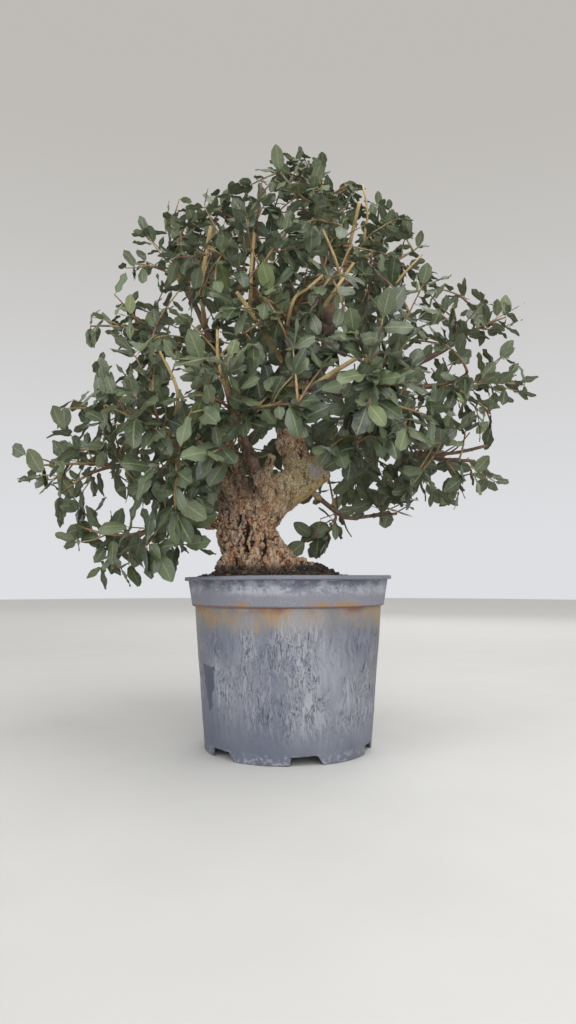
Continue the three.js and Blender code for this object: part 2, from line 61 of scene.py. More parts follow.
print("packed box:", [round(side, 3) for side in (*cad_low, *cad_high)])

# %% [markdown]
# The viewpoint comes first, because every later choice is judged through it. The tree was seen from the
# height of the pot's rim, about three quarters of a metre away, through a wide lens that looks slightly
# up. With the camera there, near leaves look larger than far ones, as they do to the eye.

# %% Camera
camera_spot = Vector((0.0, -0.784, 0.178))
camera_rise = math.radians(4.95)

viewpoint = bpy.data.cameras.new("viewpoint")
viewpoint.lens = 25.6
viewpoint.sensor_width = 36.0
camera = bpy.data.objects.new("viewpoint", viewpoint)
camera.location = camera_spot
camera.rotation_euler = (math.radians(90) + camera_rise, 0, 0)
bpy.context.scene.collection.objects.link(camera)
bpy.context.scene.camera = camera
print("camera at", tuple(camera_spot), "with a lens of", viewpoint.lens, "mm")

# %% [markdown]
# A material is a small graph of nodes that ends in one Principled shader. Writing such graphs by hand is
# long, so a few helpers come first: one adds a node and fills its sockets, and the others are the steps
# that every finish here is made of, such as a pattern of noise or a mix of two colours.

# %% Helpers for finishes
def paint(red, green, blue):
    """A colour given as 0 to 255 for each light, as the linear colour that a shader takes."""
    shares = [light / 255 for light in (red, green, blue)]
    return (*[s / 12.92 if s <= 0.04045 else ((s + 0.055) / 1.055) ** 2.4 for s in shares], 1.0)


def new_finish(name, roughness):
    """A material with one Principled shader: the material, its nodes and that shader."""
    finish = bpy.data.materials.new(name)
    finish.use_nodes = True
    shader = finish.node_tree.nodes["Principled BSDF"]
    shader.inputs["Roughness"].default_value = roughness
    return finish, finish.node_tree, shader


def feed(tree, value, socket):
    """Links a socket to another node's output, or sets it to a plain value."""
    if isinstance(value, bpy.types.NodeSocket):
        tree.links.new(value, socket)
    else:
        socket.default_value = value


def add(tree, kind, **given):
    """A new node: names in lower case are its settings, and the others are its sockets."""
    node = tree.nodes.new("ShaderNode" + kind)
    for name, value in given.items():
        if name[0].islower():
            setattr(node, name, value)
        else:
            feed(tree, value, node.inputs[name.replace("_", " ")])
    return node


def calc(tree, operation, *values):
    """One sum on numbers."""
    node = add(tree, "Math", operation=operation)
    for place, value in enumerate(values):
        feed(tree, value, node.inputs[place])
    return node.outputs[0]


def ease(tree, value, low, high):
    """0 below low, 1 above high and a smooth step between, or the other way round if low is higher."""
    node = add(tree, "MapRange", interpolation_type="SMOOTHSTEP", Value=value, From_Min=low, From_Max=high)
    return node.outputs["Result"]


def blend(tree, share, first, second, how="MIX"):
    """The first colour, turned into the second by a share."""
    node = add(tree, "Mix", data_type="RGBA", blend_type=how)
    feed(tree, share, node.inputs[0])
    feed(tree, first, node.inputs[6])
    feed(tree, second, node.inputs[7])
    return node.outputs[2]


def stretched(tree, x, y, z):
    """The place on the object, drawn out along the axes: a small number makes a pattern long there."""
    place = add(tree, "TexCoord").outputs["Object"]
    return add(tree, "Mapping", Vector=place, Scale=(x, y, z)).outputs["Vector"]


def grain(tree, place, scale, detail=4.0, roughness=0.55, warp=0.0):
    """Soft random patches, from 0 to 1."""
    node = add(tree, "TexNoise", Vector=place, Scale=scale, Detail=detail, Roughness=roughness,
               Distortion=warp)
    return node.outputs[0]


def raise_surface(tree, shader, height, distance, strength=1.0):
    """A fine relief, told to the shader."""
    bump = add(tree, "Bump", Height=height, Distance=distance, Strength=strength)
    tree.links.new(bump.outputs["Normal"], shader.inputs["Normal"])


# %% [markdown]
# The light is a plain soft studio: a pale sky all round, one large lamp above to the right, weaker ones
# at the left, in front and behind, and a pale floor. The floor is a wide disc, so that no view of the object runs off it.

# %% Floor and light
def link_object(name, mesh):
    """Puts a mesh into the scene under a name."""
    thing = bpy.data.objects.new(name, mesh)
    bpy.context.scene.collection.objects.link(thing)
    return thing


def mesh_of(bm, name, *finishes):
    """Turns finished bmesh work into a mesh that carries these finishes."""
    mesh = bpy.data.meshes.new(name)
    bm.to_mesh(mesh)
    bm.free()
    for finish in finishes:
        mesh.materials.append(finish)
    return mesh


def soft_light(name, spot, side, watts, colour=(1.0, 1.0, 1.0)):
    """A square lamp that faces the crown."""
    lamp = bpy.data.lights.new(name, "AREA")
    lamp.size = side
    lamp.energy = watts
    lamp.color = colour
    light = bpy.data.objects.new(name, lamp)
    light.location = spot
    crown = Vector((0.0, 0.0, 0.35))
    light.rotation_euler = (crown - Vector(spot)).to_track_quat("-Z", "Y").to_euler()
    bpy.context.scene.collection.objects.link(light)


soft_light("lamp_above", (0.7, -0.7, 1.9), 1.6, 26)
soft_light("lamp_left", (-1.7, -1.0, 1.0), 1.4, 12, (0.93, 0.96, 1.0))
soft_light("lamp_front", (0.3, -2.3, 0.8), 1.8, 34, (1.0, 0.99, 0.97))
soft_light("lamp_behind", (0.5, 1.8, 1.5), 1.4, 14)

studio = bpy.data.worlds.new("studio")
studio.use_nodes = True
sky = studio.node_tree
sky_height = add(sky, "SeparateXYZ", Vector=add(sky, "TexCoord").outputs["Generated"]).outputs["Z"]
sky_colour = blend(sky, ease(sky, sky_height, 0.0, 0.6), paint(222, 223, 226), paint(190, 187, 182))
sky.links.new(sky_colour, sky.nodes["Background"].inputs["Color"])
sky.nodes["Background"].inputs["Strength"].default_value = 1.0
bpy.context.scene.world = studio
bpy.context.scene.view_settings.view_transform = "Standard"

floor_finish, tree, shader = new_finish("floor_paint", 0.8)
floor_tone = grain(tree, stretched(tree, 1, 1, 1), 9.0)
from_middle = add(tree, "VectorMath", operation="LENGTH")
feed(tree, add(tree, "TexCoord").outputs["Object"], from_middle.inputs[0])
floor_colour = blend(tree, floor_tone, paint(194, 194, 192), paint(203, 203, 202))
# Painted light: the floor is painted lighter towards its far edge, standing in for lamp light that falls off with
# distance.
floor_colour = blend(tree, ease(tree, from_middle.outputs["Value"], 0.9, 3.2), floor_colour, paint(240, 240, 241))
feed(tree, floor_colour, shader.inputs["Base Color"])

bm = bmesh.new()
bmesh.ops.create_circle(bm, cap_ends=True, segments=96, radius=5.0)
bmesh.ops.translate(bm, vec=(0, 0, -0.0004), verts=bm.verts[:])
floor = link_object("floor", mesh_of(bm, "floor", floor_finish))
print("floor, sky and four lamps are in place")

# %% [markdown]
# The pot is one thin moulding: a foot ring with six notches, a tapering wall, a deeper collar and a flat
# lip. It could be cut from a block or bent from a sheet, but its outline is the same all round, so we
# draw half of its section once and spin it round the axis. The outer wall has a row every two
# millimetres, so that the wrinkles of the old plastic can be real relief.

# %% Section of the pot
pot_height = 0.178
foot_radius = 0.087
body_top_radius = 0.0987
collar_foot = 0.147
collar_foot_radius = 0.102
collar_top_radius = 0.106
lip_radius = 0.110
lip_foot = 0.174
wall = 0.0018
floor_underside = 0.009
floor_top = floor_underside + wall
slot_inner = 0.070
slot_outer = 0.081
notch_width = 0.033
notch_top_width = 0.027
notch_height = 0.0084
first_notch = math.radians(12)
pot_columns = 360
wall_rows = 70
collar_rows = 14


def wall_radius(height):
    """The outer radius of the tapering wall."""
    return foot_radius + (body_top_radius - foot_radius) * height / collar_foot


def arc(radius, height, size, start, stop, steps=4):
    """Points on a small arc in the section, round a centre, between two angles in degrees."""
    turns = [math.radians(start + (stop - start) * step / steps) for step in range(steps + 1)]
    return [(radius + size * math.cos(turn), height + size * math.sin(turn)) for turn in turns]


def rows(start, stop, count):
    """Evenly spaced points from start towards stop, without the last."""
    return [tuple(a + (b - a) * step / count for a, b in zip(start, stop)) for step in range(count)]


inner_foot = wall_radius(floor_underside) - wall
section = [(0.0, floor_underside), (0.035, floor_underside), (slot_inner, floor_underside)]
section += [(slot_outer, floor_underside), (inner_foot, floor_underside)]
section += arc(foot_radius - 0.0012, 0.0006, 0.0006, 180, 270) + arc(foot_radius - 0.0006, 0.0006, 0.0006, 270, 360)
section += rows((wall_radius(0.002), 0.002), (body_top_radius, collar_foot - 0.0012), wall_rows)
section += arc(body_top_radius + 0.0012, collar_foot - 0.0012, 0.0012, 180, 90)
section += arc(collar_foot_radius - 0.0016, collar_foot + 0.0016, 0.0016, 270, 350)
section += rows((collar_foot_radius + 0.0003, collar_foot + 0.003), (collar_top_radius, lip_foot - 0.001), collar_rows)
section += arc(collar_top_radius + 0.001, lip_foot - 0.001, 0.001, 180, 90)
section += arc(lip_radius - 0.0008, lip_foot + 0.0008, 0.0008, 270, 360)
section += arc(lip_radius - 0.0010, pot_height - 0.0010, 0.0010, 0, 90)
section += arc(collar_top_radius - wall + 0.001, pot_height - 0.001, 0.001, 90, 180)
section += rows((collar_top_radius - wall, pot_height - 0.003), (collar_foot_radius - wall, collar_foot + wall), 5)
section += [(collar_foot_radius - wall, collar_foot + wall), (body_top_radius - wall, collar_foot + wall)]
section += rows((body_top_radius - wall, collar_foot), (wall_radius(floor_top) - wall, floor_top), 8)
section += [(wall_radius(floor_top) - wall, floor_top), (slot_outer, floor_top), (slot_inner, floor_top)]
section += [(0.035, floor_top), (0.0, floor_top)]
print("points in the section:", len(section))

# %% Spin the section


def spun(outline, columns):
    """A closed shape turned round the upright axis from half of its section."""
    bm = bmesh.new()
    corners = [bm.verts.new((radius, 0.0, height)) for radius, height in outline]
    edges = [bm.edges.new(pair) for pair in zip(corners, corners[1:])]
    bmesh.ops.spin(bm, geom=corners + edges, cent=(0, 0, 0), axis=(0, 0, 1), angle=math.tau,
                   steps=columns, use_merge=True)
    bmesh.ops.remove_doubles(bm, verts=bm.verts[:], dist=1e-6)
    bmesh.ops.recalc_face_normals(bm, faces=bm.faces[:])
    return bm


pot_shell = spun(section, pot_columns)
print("faces on the pot:", len(pot_shell.faces))

# %% [markdown]
# Six notches let water out under the foot ring. Each has one upright side and one slanted side. A
# boolean would cut them, but here the ring itself is drawn up: where a notch is, the lowest rows of the
# wall are lifted to its height, so the wall keeps its thickness and its round edge. Inside them lie six
# slots through the pot's floor: their faces are taken out above and below, and the two rims are bridged.

# %% Notches and slots
def from_notch(x, y):
    """How far round the foot a place is from the middle of the nearest notch, as an angle."""
    turn = math.atan2(x, -y) - first_notch
    sixth = math.tau / 6
    return (turn + sixth / 2) % sixth - sixth / 2


def notch_at(x, y):
    """The height of the notch at a place round the foot: upright on its left, slanted on its right."""
    along = from_notch(x, y) * foot_radius
    left = -notch_width / 2
    slant = (notch_width / 2 - along) / (notch_width - notch_top_width)
    ragged = 0.0013 * noise.noise(Vector((x, y, 0)) * 330)
    return (notch_height + ragged) * max(0.0, min(1.0, slant)) if along > left else 0.0


for corner in pot_shell.verts:
    x, y, z = corner.co
    out = math.hypot(x, y)
    if out > inner_foot - 0.0015:
        is_outside = out > wall_radius(z) - wall / 2
        fade = 0.030 if is_outside else floor_underside
        corner.co.z += notch_at(x, y) * max(0.0, 1 - z / fade)

slots = {}
for face in pot_shell.faces:
    spot = face.calc_center_median()
    out = math.hypot(spot.x, spot.y)
    is_floor = slot_inner < out < slot_outer and spot.z < floor_top + 0.001
    if is_floor and abs(from_notch(spot.x, spot.y)) * out < notch_top_width / 2:
        slots.setdefault(round(math.atan2(spot.x, -spot.y) / (math.tau / 6) - 0.2), []).append(face)
bmesh.ops.delete(pot_shell, geom=[face for faces in slots.values() for face in faces], context="FACES")
rims = [edge for edge in pot_shell.edges if edge.is_boundary]
sixths = {}
for edge in rims:
    spot = (edge.verts[0].co + edge.verts[1].co) / 2
    sixths.setdefault(round((math.atan2(spot.x, -spot.y) - first_notch) / (math.tau / 6)) % 6, []).append(edge)
for rim in sixths.values():
    bmesh.ops.bridge_loops(pot_shell, edges=rim)
print("slots in the pot's floor:", len(sixths))

# %% [markdown]
# A pot that has stood outdoors for years isn't perfectly round: its rim sags a little, its wall bulges,
# and the plastic has shrunk into long upright wrinkles. These come from smooth noise that is drawn out
# along the height. They are real relief, so they catch the light from any side.

# %% Sagging rim and wrinkled wall
rim_sag = 0.0024
bulge = 0.0006
wrinkle = 0.00055


def wrinkles(x, y, z):
    """Upright wrinkles, strongest on the middle of the wall."""
    spot = Vector((x * 210, y * 210, z * 26))
    spot += Vector((noise.noise(spot * 0.4), noise.noise(spot * 0.4 + Vector((9, 0, 0))), 0)) * 1.2
    reach = max(0.0, min(1.0, (z - 0.012) / 0.03, (collar_foot - 0.016 - z) / 0.02))
    return reach * (abs(noise.noise(spot)) * 1.7 + 0.5 * noise.noise(spot * 2.3) - 0.4)


for corner in pot_shell.verts:
    x, y, z = corner.co
    out = math.hypot(x, y)
    if out < inner_foot - 0.002:
        continue
    turn = math.atan2(x, -y)
    sag = max(0.0, math.cos(turn + math.radians(95))) ** 1.5
    near_rim = max(0.0, (z - 0.11) / (pot_height - 0.11))
    corner.co.z -= rim_sag * sag * near_rim
    push = bulge * math.sin(2 * turn + 1.1) * near_rim + bulge * 0.6 * noise.noise(Vector((x, y, z)) * 22)
    if out > wall_radius(z) - wall / 2 and z < collar_foot:
        push += wrinkle * wrinkles(x, y, z)
    corner.co.x += x / out * push
    corner.co.y += y / out * push

# %% [markdown]
# The plastic was dark grey once. Sun has turned it pale and chalky, and water has left rust-coloured stains
# under the collar. Fine dark cracks craze it, the hollows of its wrinkles are darkened with painted shade, and
# their crests are lightened with a painted highlight. One material can hold all of it: each mark is a mask
# of where it lies, by height, by the turn round the pot and by noise, and each mask blends one more
# colour over the last. It reads the place on the object, so nothing slides when the camera moves.

# %% Weathered plastic
pot_plastic, tree, shader = new_finish("weathered_plastic", 0.6)
on_object = add(tree, "TexCoord").outputs["Object"]
across, deep, height = add(tree, "SeparateXYZ", Vector=on_object).outputs
round_pot = calc(tree, "ARCTAN2", across, calc(tree, "MULTIPLY", deep, -1.0))
sway = calc(tree, "MULTIPLY_ADD", grain(tree, stretched(tree, 1, 1, 0.6), 28, 3), 0.026, -0.013)
wandering = add(tree, "CombineXYZ", X=calc(tree, "ADD", across, sway), Y=calc(tree, "ADD", deep, sway),
                Z=calc(tree, "MULTIPLY", height, 0.125)).outputs["Vector"]
long_grain = grain(tree, wandering, 330, 5, 0.62, 0.20)
fine_grain = grain(tree, wandering, 480, 4, 0.6, 0.1)
patches = grain(tree, stretched(tree, 1, 1, 0.5), 34, 3, 0.5)
clouds = grain(tree, stretched(tree, 1, 1, 0.7), 15, 3, 0.5)
fine_dust = grain(tree, stretched(tree, 1, 1, 1), 900, 3, 0.6)
on_body = calc(tree, "MULTIPLY", ease(tree, height, 0.006, 0.050), ease(tree, height, 0.137, 0.116))
crazed = calc(tree, "MULTIPLY", on_body, ease(tree, patches, 0.34, 0.56))
body = blend(tree, ease(tree, patches, 0.30, 0.70), paint(112, 115, 127), paint(146, 148, 157))
body = blend(tree, calc(tree, "MULTIPLY", ease(tree, clouds, 0.52, 0.40), 0.55), body, paint(88, 94, 112))
body = blend(tree, calc(tree, "MULTIPLY", ease(tree, clouds, 0.52, 0.66), 0.45), body, paint(154, 156, 166))
body = blend(tree, calc(tree, "MULTIPLY", ease(tree, height, 0.056, 0.006), 0.75), body, paint(84, 90, 106))
# Painted shade: the hollows of the wrinkles are darkened.
shade_lines = calc(tree, "MULTIPLY", ease(tree, long_grain, 0.46, 0.36), on_body)
body = blend(tree, calc(tree, "MULTIPLY", shade_lines, 0.62), body, paint(78, 84, 102))
# Painted highlight: the crests of the wrinkles are lightened.
ridge_highlight = calc(tree, "MULTIPLY", ease(tree, long_grain, 0.53, 0.64), on_body)
body = blend(tree, calc(tree, "MULTIPLY", ridge_highlight, 0.12), body, paint(164, 167, 177))
from_crack = calc(tree, "ABSOLUTE", calc(tree, "SUBTRACT", long_grain, 0.5))
cracks = calc(tree, "MULTIPLY", ease(tree, from_crack, 0.022, 0.005), crazed)
body = blend(tree, calc(tree, "MULTIPLY", cracks, 0.85), body, paint(54, 59, 78))
hairs = calc(tree, "MULTIPLY", ease(tree, fine_grain, 0.42, 0.35), crazed)
body = blend(tree, calc(tree, "MULTIPLY", hairs, 0.90), body, paint(46, 51, 68))
body = blend(tree, calc(tree, "MULTIPLY", ease(tree, fine_dust, 0.66, 0.74), 0.6), body, paint(172, 174, 180))

# %% [markdown]
# Hard water and iron have left ochre and rust under the collar, mostly at the left, and chalk on the
# collar itself. Below the lip the plastic is still dark, and so is a drop-shaped patch at the left where
# something kept the sun off. Each is a soft mask of height and of the turn round the pot, broken by noise.
# The sides and back of the pot, as seen from the front, are darkened with painted shade.

# %% Stains, chalk, the bare patch and painted shade at the sides
ragged_foot = calc(tree, "MULTIPLY_ADD", long_grain, 0.050, 0.102)
under_collar = calc(tree, "MULTIPLY", ease(tree, calc(tree, "SUBTRACT", height, ragged_foot), -0.006, 0.016),
                    ease(tree, height, 0.1490, 0.1470))
at_left = ease(tree, round_pot, 0.42, -0.05)
at_right = ease(tree, round_pot, 0.62, 0.95)
where = calc(tree, "MULTIPLY_ADD", calc(tree, "MAXIMUM", at_left, at_right), 0.70, 0.22)
blots = ease(tree, grain(tree, stretched(tree, 1, 1, 0.8), 34, 4, 0.6), 0.34, 0.58)
stain = calc(tree, "MULTIPLY", calc(tree, "MULTIPLY", under_collar, where), blots)
body = blend(tree, calc(tree, "MULTIPLY", under_collar, 0.55), body, paint(118, 114, 108))
body = blend(tree, calc(tree, "MULTIPLY", stain, 0.85), body, paint(146, 124, 88))
orange_spots = ease(tree, grain(tree, stretched(tree, 1, 1, 0.7), 70, 4, 0.6), 0.48, 0.64)
body = blend(tree, calc(tree, "MULTIPLY", calc(tree, "MULTIPLY", stain, orange_spots), 0.50), body, paint(150, 108, 70))
near_joint = calc(tree, "MULTIPLY", ease(tree, height, 0.1385, 0.1455), ease(tree, height, 0.1490, 0.1470))
rust = calc(tree, "MULTIPLY", near_joint, ease(tree, grain(tree, stretched(tree, 1, 1, 1), 30, 3), 0.46, 0.62))
body = blend(tree, calc(tree, "MULTIPLY", rust, 0.70), body, paint(118, 68, 52))
# Painted shade: the pot is darkened towards its sides and back, as seen from the front.
shaded_sides = calc(tree, "MULTIPLY", ease(tree, calc(tree, "ABSOLUTE", round_pot), 0.95, 1.35),
                ease(tree, height, 0.040, 0.100))
body = blend(tree, calc(tree, "MULTIPLY", shaded_sides, 0.35), body, paint(132, 124, 98))
collar = blend(tree, patches, paint(110, 112, 124), paint(140, 141, 150))
collar = blend(tree, calc(tree, "MULTIPLY", ease(tree, fine_dust, 0.58, 0.42), 0.6), collar, paint(104, 107, 121))
smudges = calc(tree, "MULTIPLY", ease(tree, height, 0.1615, 0.1690),
               ease(tree, grain(tree, stretched(tree, 1, 1, 1.5), 55, 5, 0.65), 0.40, 0.56))
collar = blend(tree, calc(tree, "MULTIPLY", smudges, 0.85), collar, paint(66, 70, 88))
collar_stain = calc(tree, "MULTIPLY", ease(tree, height, 0.1560, 0.1500),
                    ease(tree, grain(tree, stretched(tree, 1, 1, 0.6), 26, 3), 0.45, 0.60))
collar = blend(tree, calc(tree, "MULTIPLY", collar_stain, 0.85), collar, paint(146, 116, 76))
collar = blend(tree, calc(tree, "MULTIPLY", ease(tree, height, 0.1492, 0.1478), 0.7), collar, paint(104, 64, 50))
chalk_band = calc(tree, "MULTIPLY", ease(tree, height, 0.1560, 0.1630), ease(tree, height, 0.1715, 0.1660))
chalk_noise = calc(tree, "MULTIPLY_ADD", grain(tree, stretched(tree, 1, 1, 1), 320, 4, 0.7), 0.45,
                   calc(tree, "MULTIPLY", grain(tree, stretched(tree, 1, 1, 1.4), 38, 4, 0.6), 0.55))
chalk = calc(tree, "MULTIPLY", chalk_band, ease(tree, chalk_noise, 0.45, 0.58))
collar = blend(tree, calc(tree, "MULTIPLY", chalk, 0.55), collar, paint(178, 180, 187))
collar = blend(tree, ease(tree, height, 0.1732, 0.1742), collar, blend(tree, patches, paint(92, 95, 108), paint(128, 130, 140)))
body = blend(tree, ease(tree, height, 0.1462, 0.1474), body, collar)
patch_turn = calc(tree, "ABSOLUTE", calc(tree, "ADD", round_pot, math.radians(58)))
patch_rise = calc(tree, "ABSOLUTE", calc(tree, "SUBTRACT", height, 0.067))
wobble = calc(tree, "MULTIPLY_ADD", grain(tree, stretched(tree, 1, 1, 1), 95, 4), 0.16, -0.08)
drop_side = add(tree, "MapRange", Value=height, From_Min=0.044, From_Max=0.082, To_Min=0.030, To_Max=0.125).outputs[0]
patch_side = ease(tree, calc(tree, "SUBTRACT", calc(tree, "ADD", patch_turn, wobble), drop_side), 0.010, -0.008)
patch_ends = ease(tree, calc(tree, "MULTIPLY_ADD", wobble, 0.08, patch_rise), 0.0225, 0.0205)
bare_patch = calc(tree, "MULTIPLY", patch_side, patch_ends)
body = blend(tree, bare_patch, body, blend(tree, patches, paint(62, 68, 84), paint(78, 84, 100)))
chipped = calc(tree, "MULTIPLY", ease(tree, height, 0.0120, 0.0060),
               ease(tree, grain(tree, stretched(tree, 1, 1, 1), 240, 4, 0.65), 0.50, 0.62))
body = blend(tree, calc(tree, "MULTIPLY", chipped, 0.55), body, paint(158, 160, 164))
feed(tree, body, shader.inputs["Base Color"])
relief = calc(tree, "MULTIPLY_ADD", long_grain, 1.0, calc(tree, "MULTIPLY", fine_grain, 0.45))
relief = calc(tree, "MULTIPLY_ADD", cracks, -0.35, relief)
relief = calc(tree, "MULTIPLY", relief, calc(tree, "SUBTRACT", 1.0, bare_patch))
raise_surface(tree, shader, relief, 0.0012, 0.8)

# %% Place the pot
def add_piece(name, mesh, slot, *nodes, smooth=True):
    """Puts a piece on the model: it rides on the one body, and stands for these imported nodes."""
    piece = link_object(name, mesh)
    if smooth:
        mesh.shade_smooth()
    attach(piece, "root")
    if nodes:
        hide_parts(*nodes)
    return piece


pot_mesh = mesh_of(pot_shell, "growing_pot", pot_plastic)
pot_mesh.set_sharp_from_angle(angle=math.radians(50))
add_piece("growing_pot", pot_mesh, "pot_plastic", "pot", smooth=False)
print("triangles on the pot:", sum(len(p.vertices) - 2 for p in pot_mesh.polygons))

# %% [markdown]
# The growing mix is bark, peat and grit. It fills the pot to just under the rim and is heaped against
# the trunk. A flat dark disc would look like paint, so the block is spun like the pot, its top is raised
# into a low mound with lumps, and about a thousand loose crumbs are pressed into it. Each crumb is the
# simplest ball there is, with twenty faces, squeezed and turned by chance.

# %% Growing mix
mix_gap = 0.0003
mix_edge = 0.173
mix_columns = 200
mound_rise = 0.0065
mound_middle = Vector((-0.018, 0.0))
mound_top = 0.050
mound_foot = 0.094
pile_rise = 0.010
pile_middle = Vector((0.020, -0.006))
crumb_count = 1500
mm = 0.001


def smooth_fall(value, top, foot):
    """1 up to the top, 0 past the foot, and a smooth slope between."""
    share = max(0.0, min(1.0, (value - top) / (foot - top)))
    return 1 - share * share * (3 - 2 * share)


def mix_height(x, y):
    """The height of the mix: a low mound, and a steeper pile on the root at the right."""
    mound = mound_rise * smooth_fall((Vector((x, y)) - mound_middle).length, mound_top, mound_foot)
    from_pile = Vector(((x - pile_middle.x) / 0.030, (y - pile_middle.y) / 0.024)).length
    lumps = 1.6 * mm * noise.fractal(Vector((x, y, 0)) * 90, 1.0, 2.0, 4)
    return mix_edge + mound + pile_rise * math.exp(-from_pile ** 2) + lumps


mix_edge_radius = collar_foot_radius + (collar_top_radius - collar_foot_radius) * 0.9 - wall - mix_gap
half_mix = [(0.0, floor_top + mix_gap), (wall_radius(floor_top) - wall - mix_gap, floor_top + mix_gap)]
half_mix += [(body_top_radius - wall - mix_gap, collar_foot + wall + mix_gap)]
half_mix += [(collar_foot_radius - wall - mix_gap, collar_foot + wall + mix_gap)]
half_mix += rows((mix_edge_radius, mix_edge - 0.002), (0.0, mix_edge - 0.002), 60) + [(0.0, mix_edge - 0.002)]
mix = spun(half_mix, mix_columns)
for corner in mix.verts:
    x, y, z = corner.co
    if z > mix_edge - 0.003 and math.hypot(x, y) < mix_edge_radius - 0.001:
        corner.co.z = mix_height(x, y)

dice = random.Random(41)
for _ in range(crumb_count):
    reach = mix_edge_radius * math.sqrt(dice.random()) * 0.985
    turn = dice.uniform(0, math.tau)
    x, y = reach * math.cos(turn), reach * math.sin(turn)
    size = dice.uniform(0.7, 1.0) ** 2 * dice.choice((1.1, 1.6, 2.4, 3.1)) * mm
    crumb = bmesh.ops.create_icosphere(mix, subdivisions=1, radius=size)["verts"]
    squeeze = Matrix.Diagonal((dice.uniform(0.6, 1.4), dice.uniform(0.6, 1.2), dice.uniform(0.5, 0.9), 1))
    tumble = Matrix.Rotation(dice.uniform(0, math.tau), 4, Vector((dice.random(), dice.random(), 1)))
    seat = Matrix.Translation((x, y, mix_height(x, y) + 0.25 * size))
    bmesh.ops.transform(mix, matrix=seat @ tumble @ squeeze, verts=crumb)
for _ in range(260):
    x, y = dice.gauss(pile_middle.x, 0.016), dice.gauss(pile_middle.y, 0.015)
    size = dice.uniform(0.9, 2.3) * mm
    crumb = bmesh.ops.create_icosphere(mix, subdivisions=1, radius=size)["verts"]
    squeeze = Matrix.Diagonal((dice.uniform(0.7, 1.5), dice.uniform(0.6, 1.2), dice.uniform(0.6, 1.2), 1))
    tumble = Matrix.Rotation(dice.uniform(0, math.tau), 4, Vector((dice.random(), dice.random(), 0.5)))
    seat = Matrix.Translation((x, y, mix_height(x, y) + 0.4 * size))
    bmesh.ops.transform(mix, matrix=seat @ tumble @ squeeze, verts=crumb)
print("faces on the growing mix:", len(mix.faces))

# %% Damp bark and grit
growing_mix, tree, shader = new_finish("damp_bark_and_grit", 0.92)
bits = grain(tree, stretched(tree, 1, 1, 1), 420, 4, 0.6)
clods = grain(tree, stretched(tree, 1, 1, 1), 90, 3, 0.5)
body = blend(tree, ease(tree, bits, 0.32, 0.70), paint(36, 31, 31), paint(92, 78, 70))
body = blend(tree, ease(tree, clods, 0.62, 0.40), body, paint(44, 38, 38))
flecks = grain(tree, stretched(tree, 1, 1, 1), 1500, 2)
body = blend(tree, ease(tree, flecks, 0.68, 0.74), body, paint(150, 136, 120))
feed(tree, body, shader.inputs["Base Color"])
raise_surface(tree, shader, bits, 0.0012, 0.9)
add_piece("growing_mix", mesh_of(mix, "growing_mix", growing_mix), "growing_mix", "soil", smooth=False)
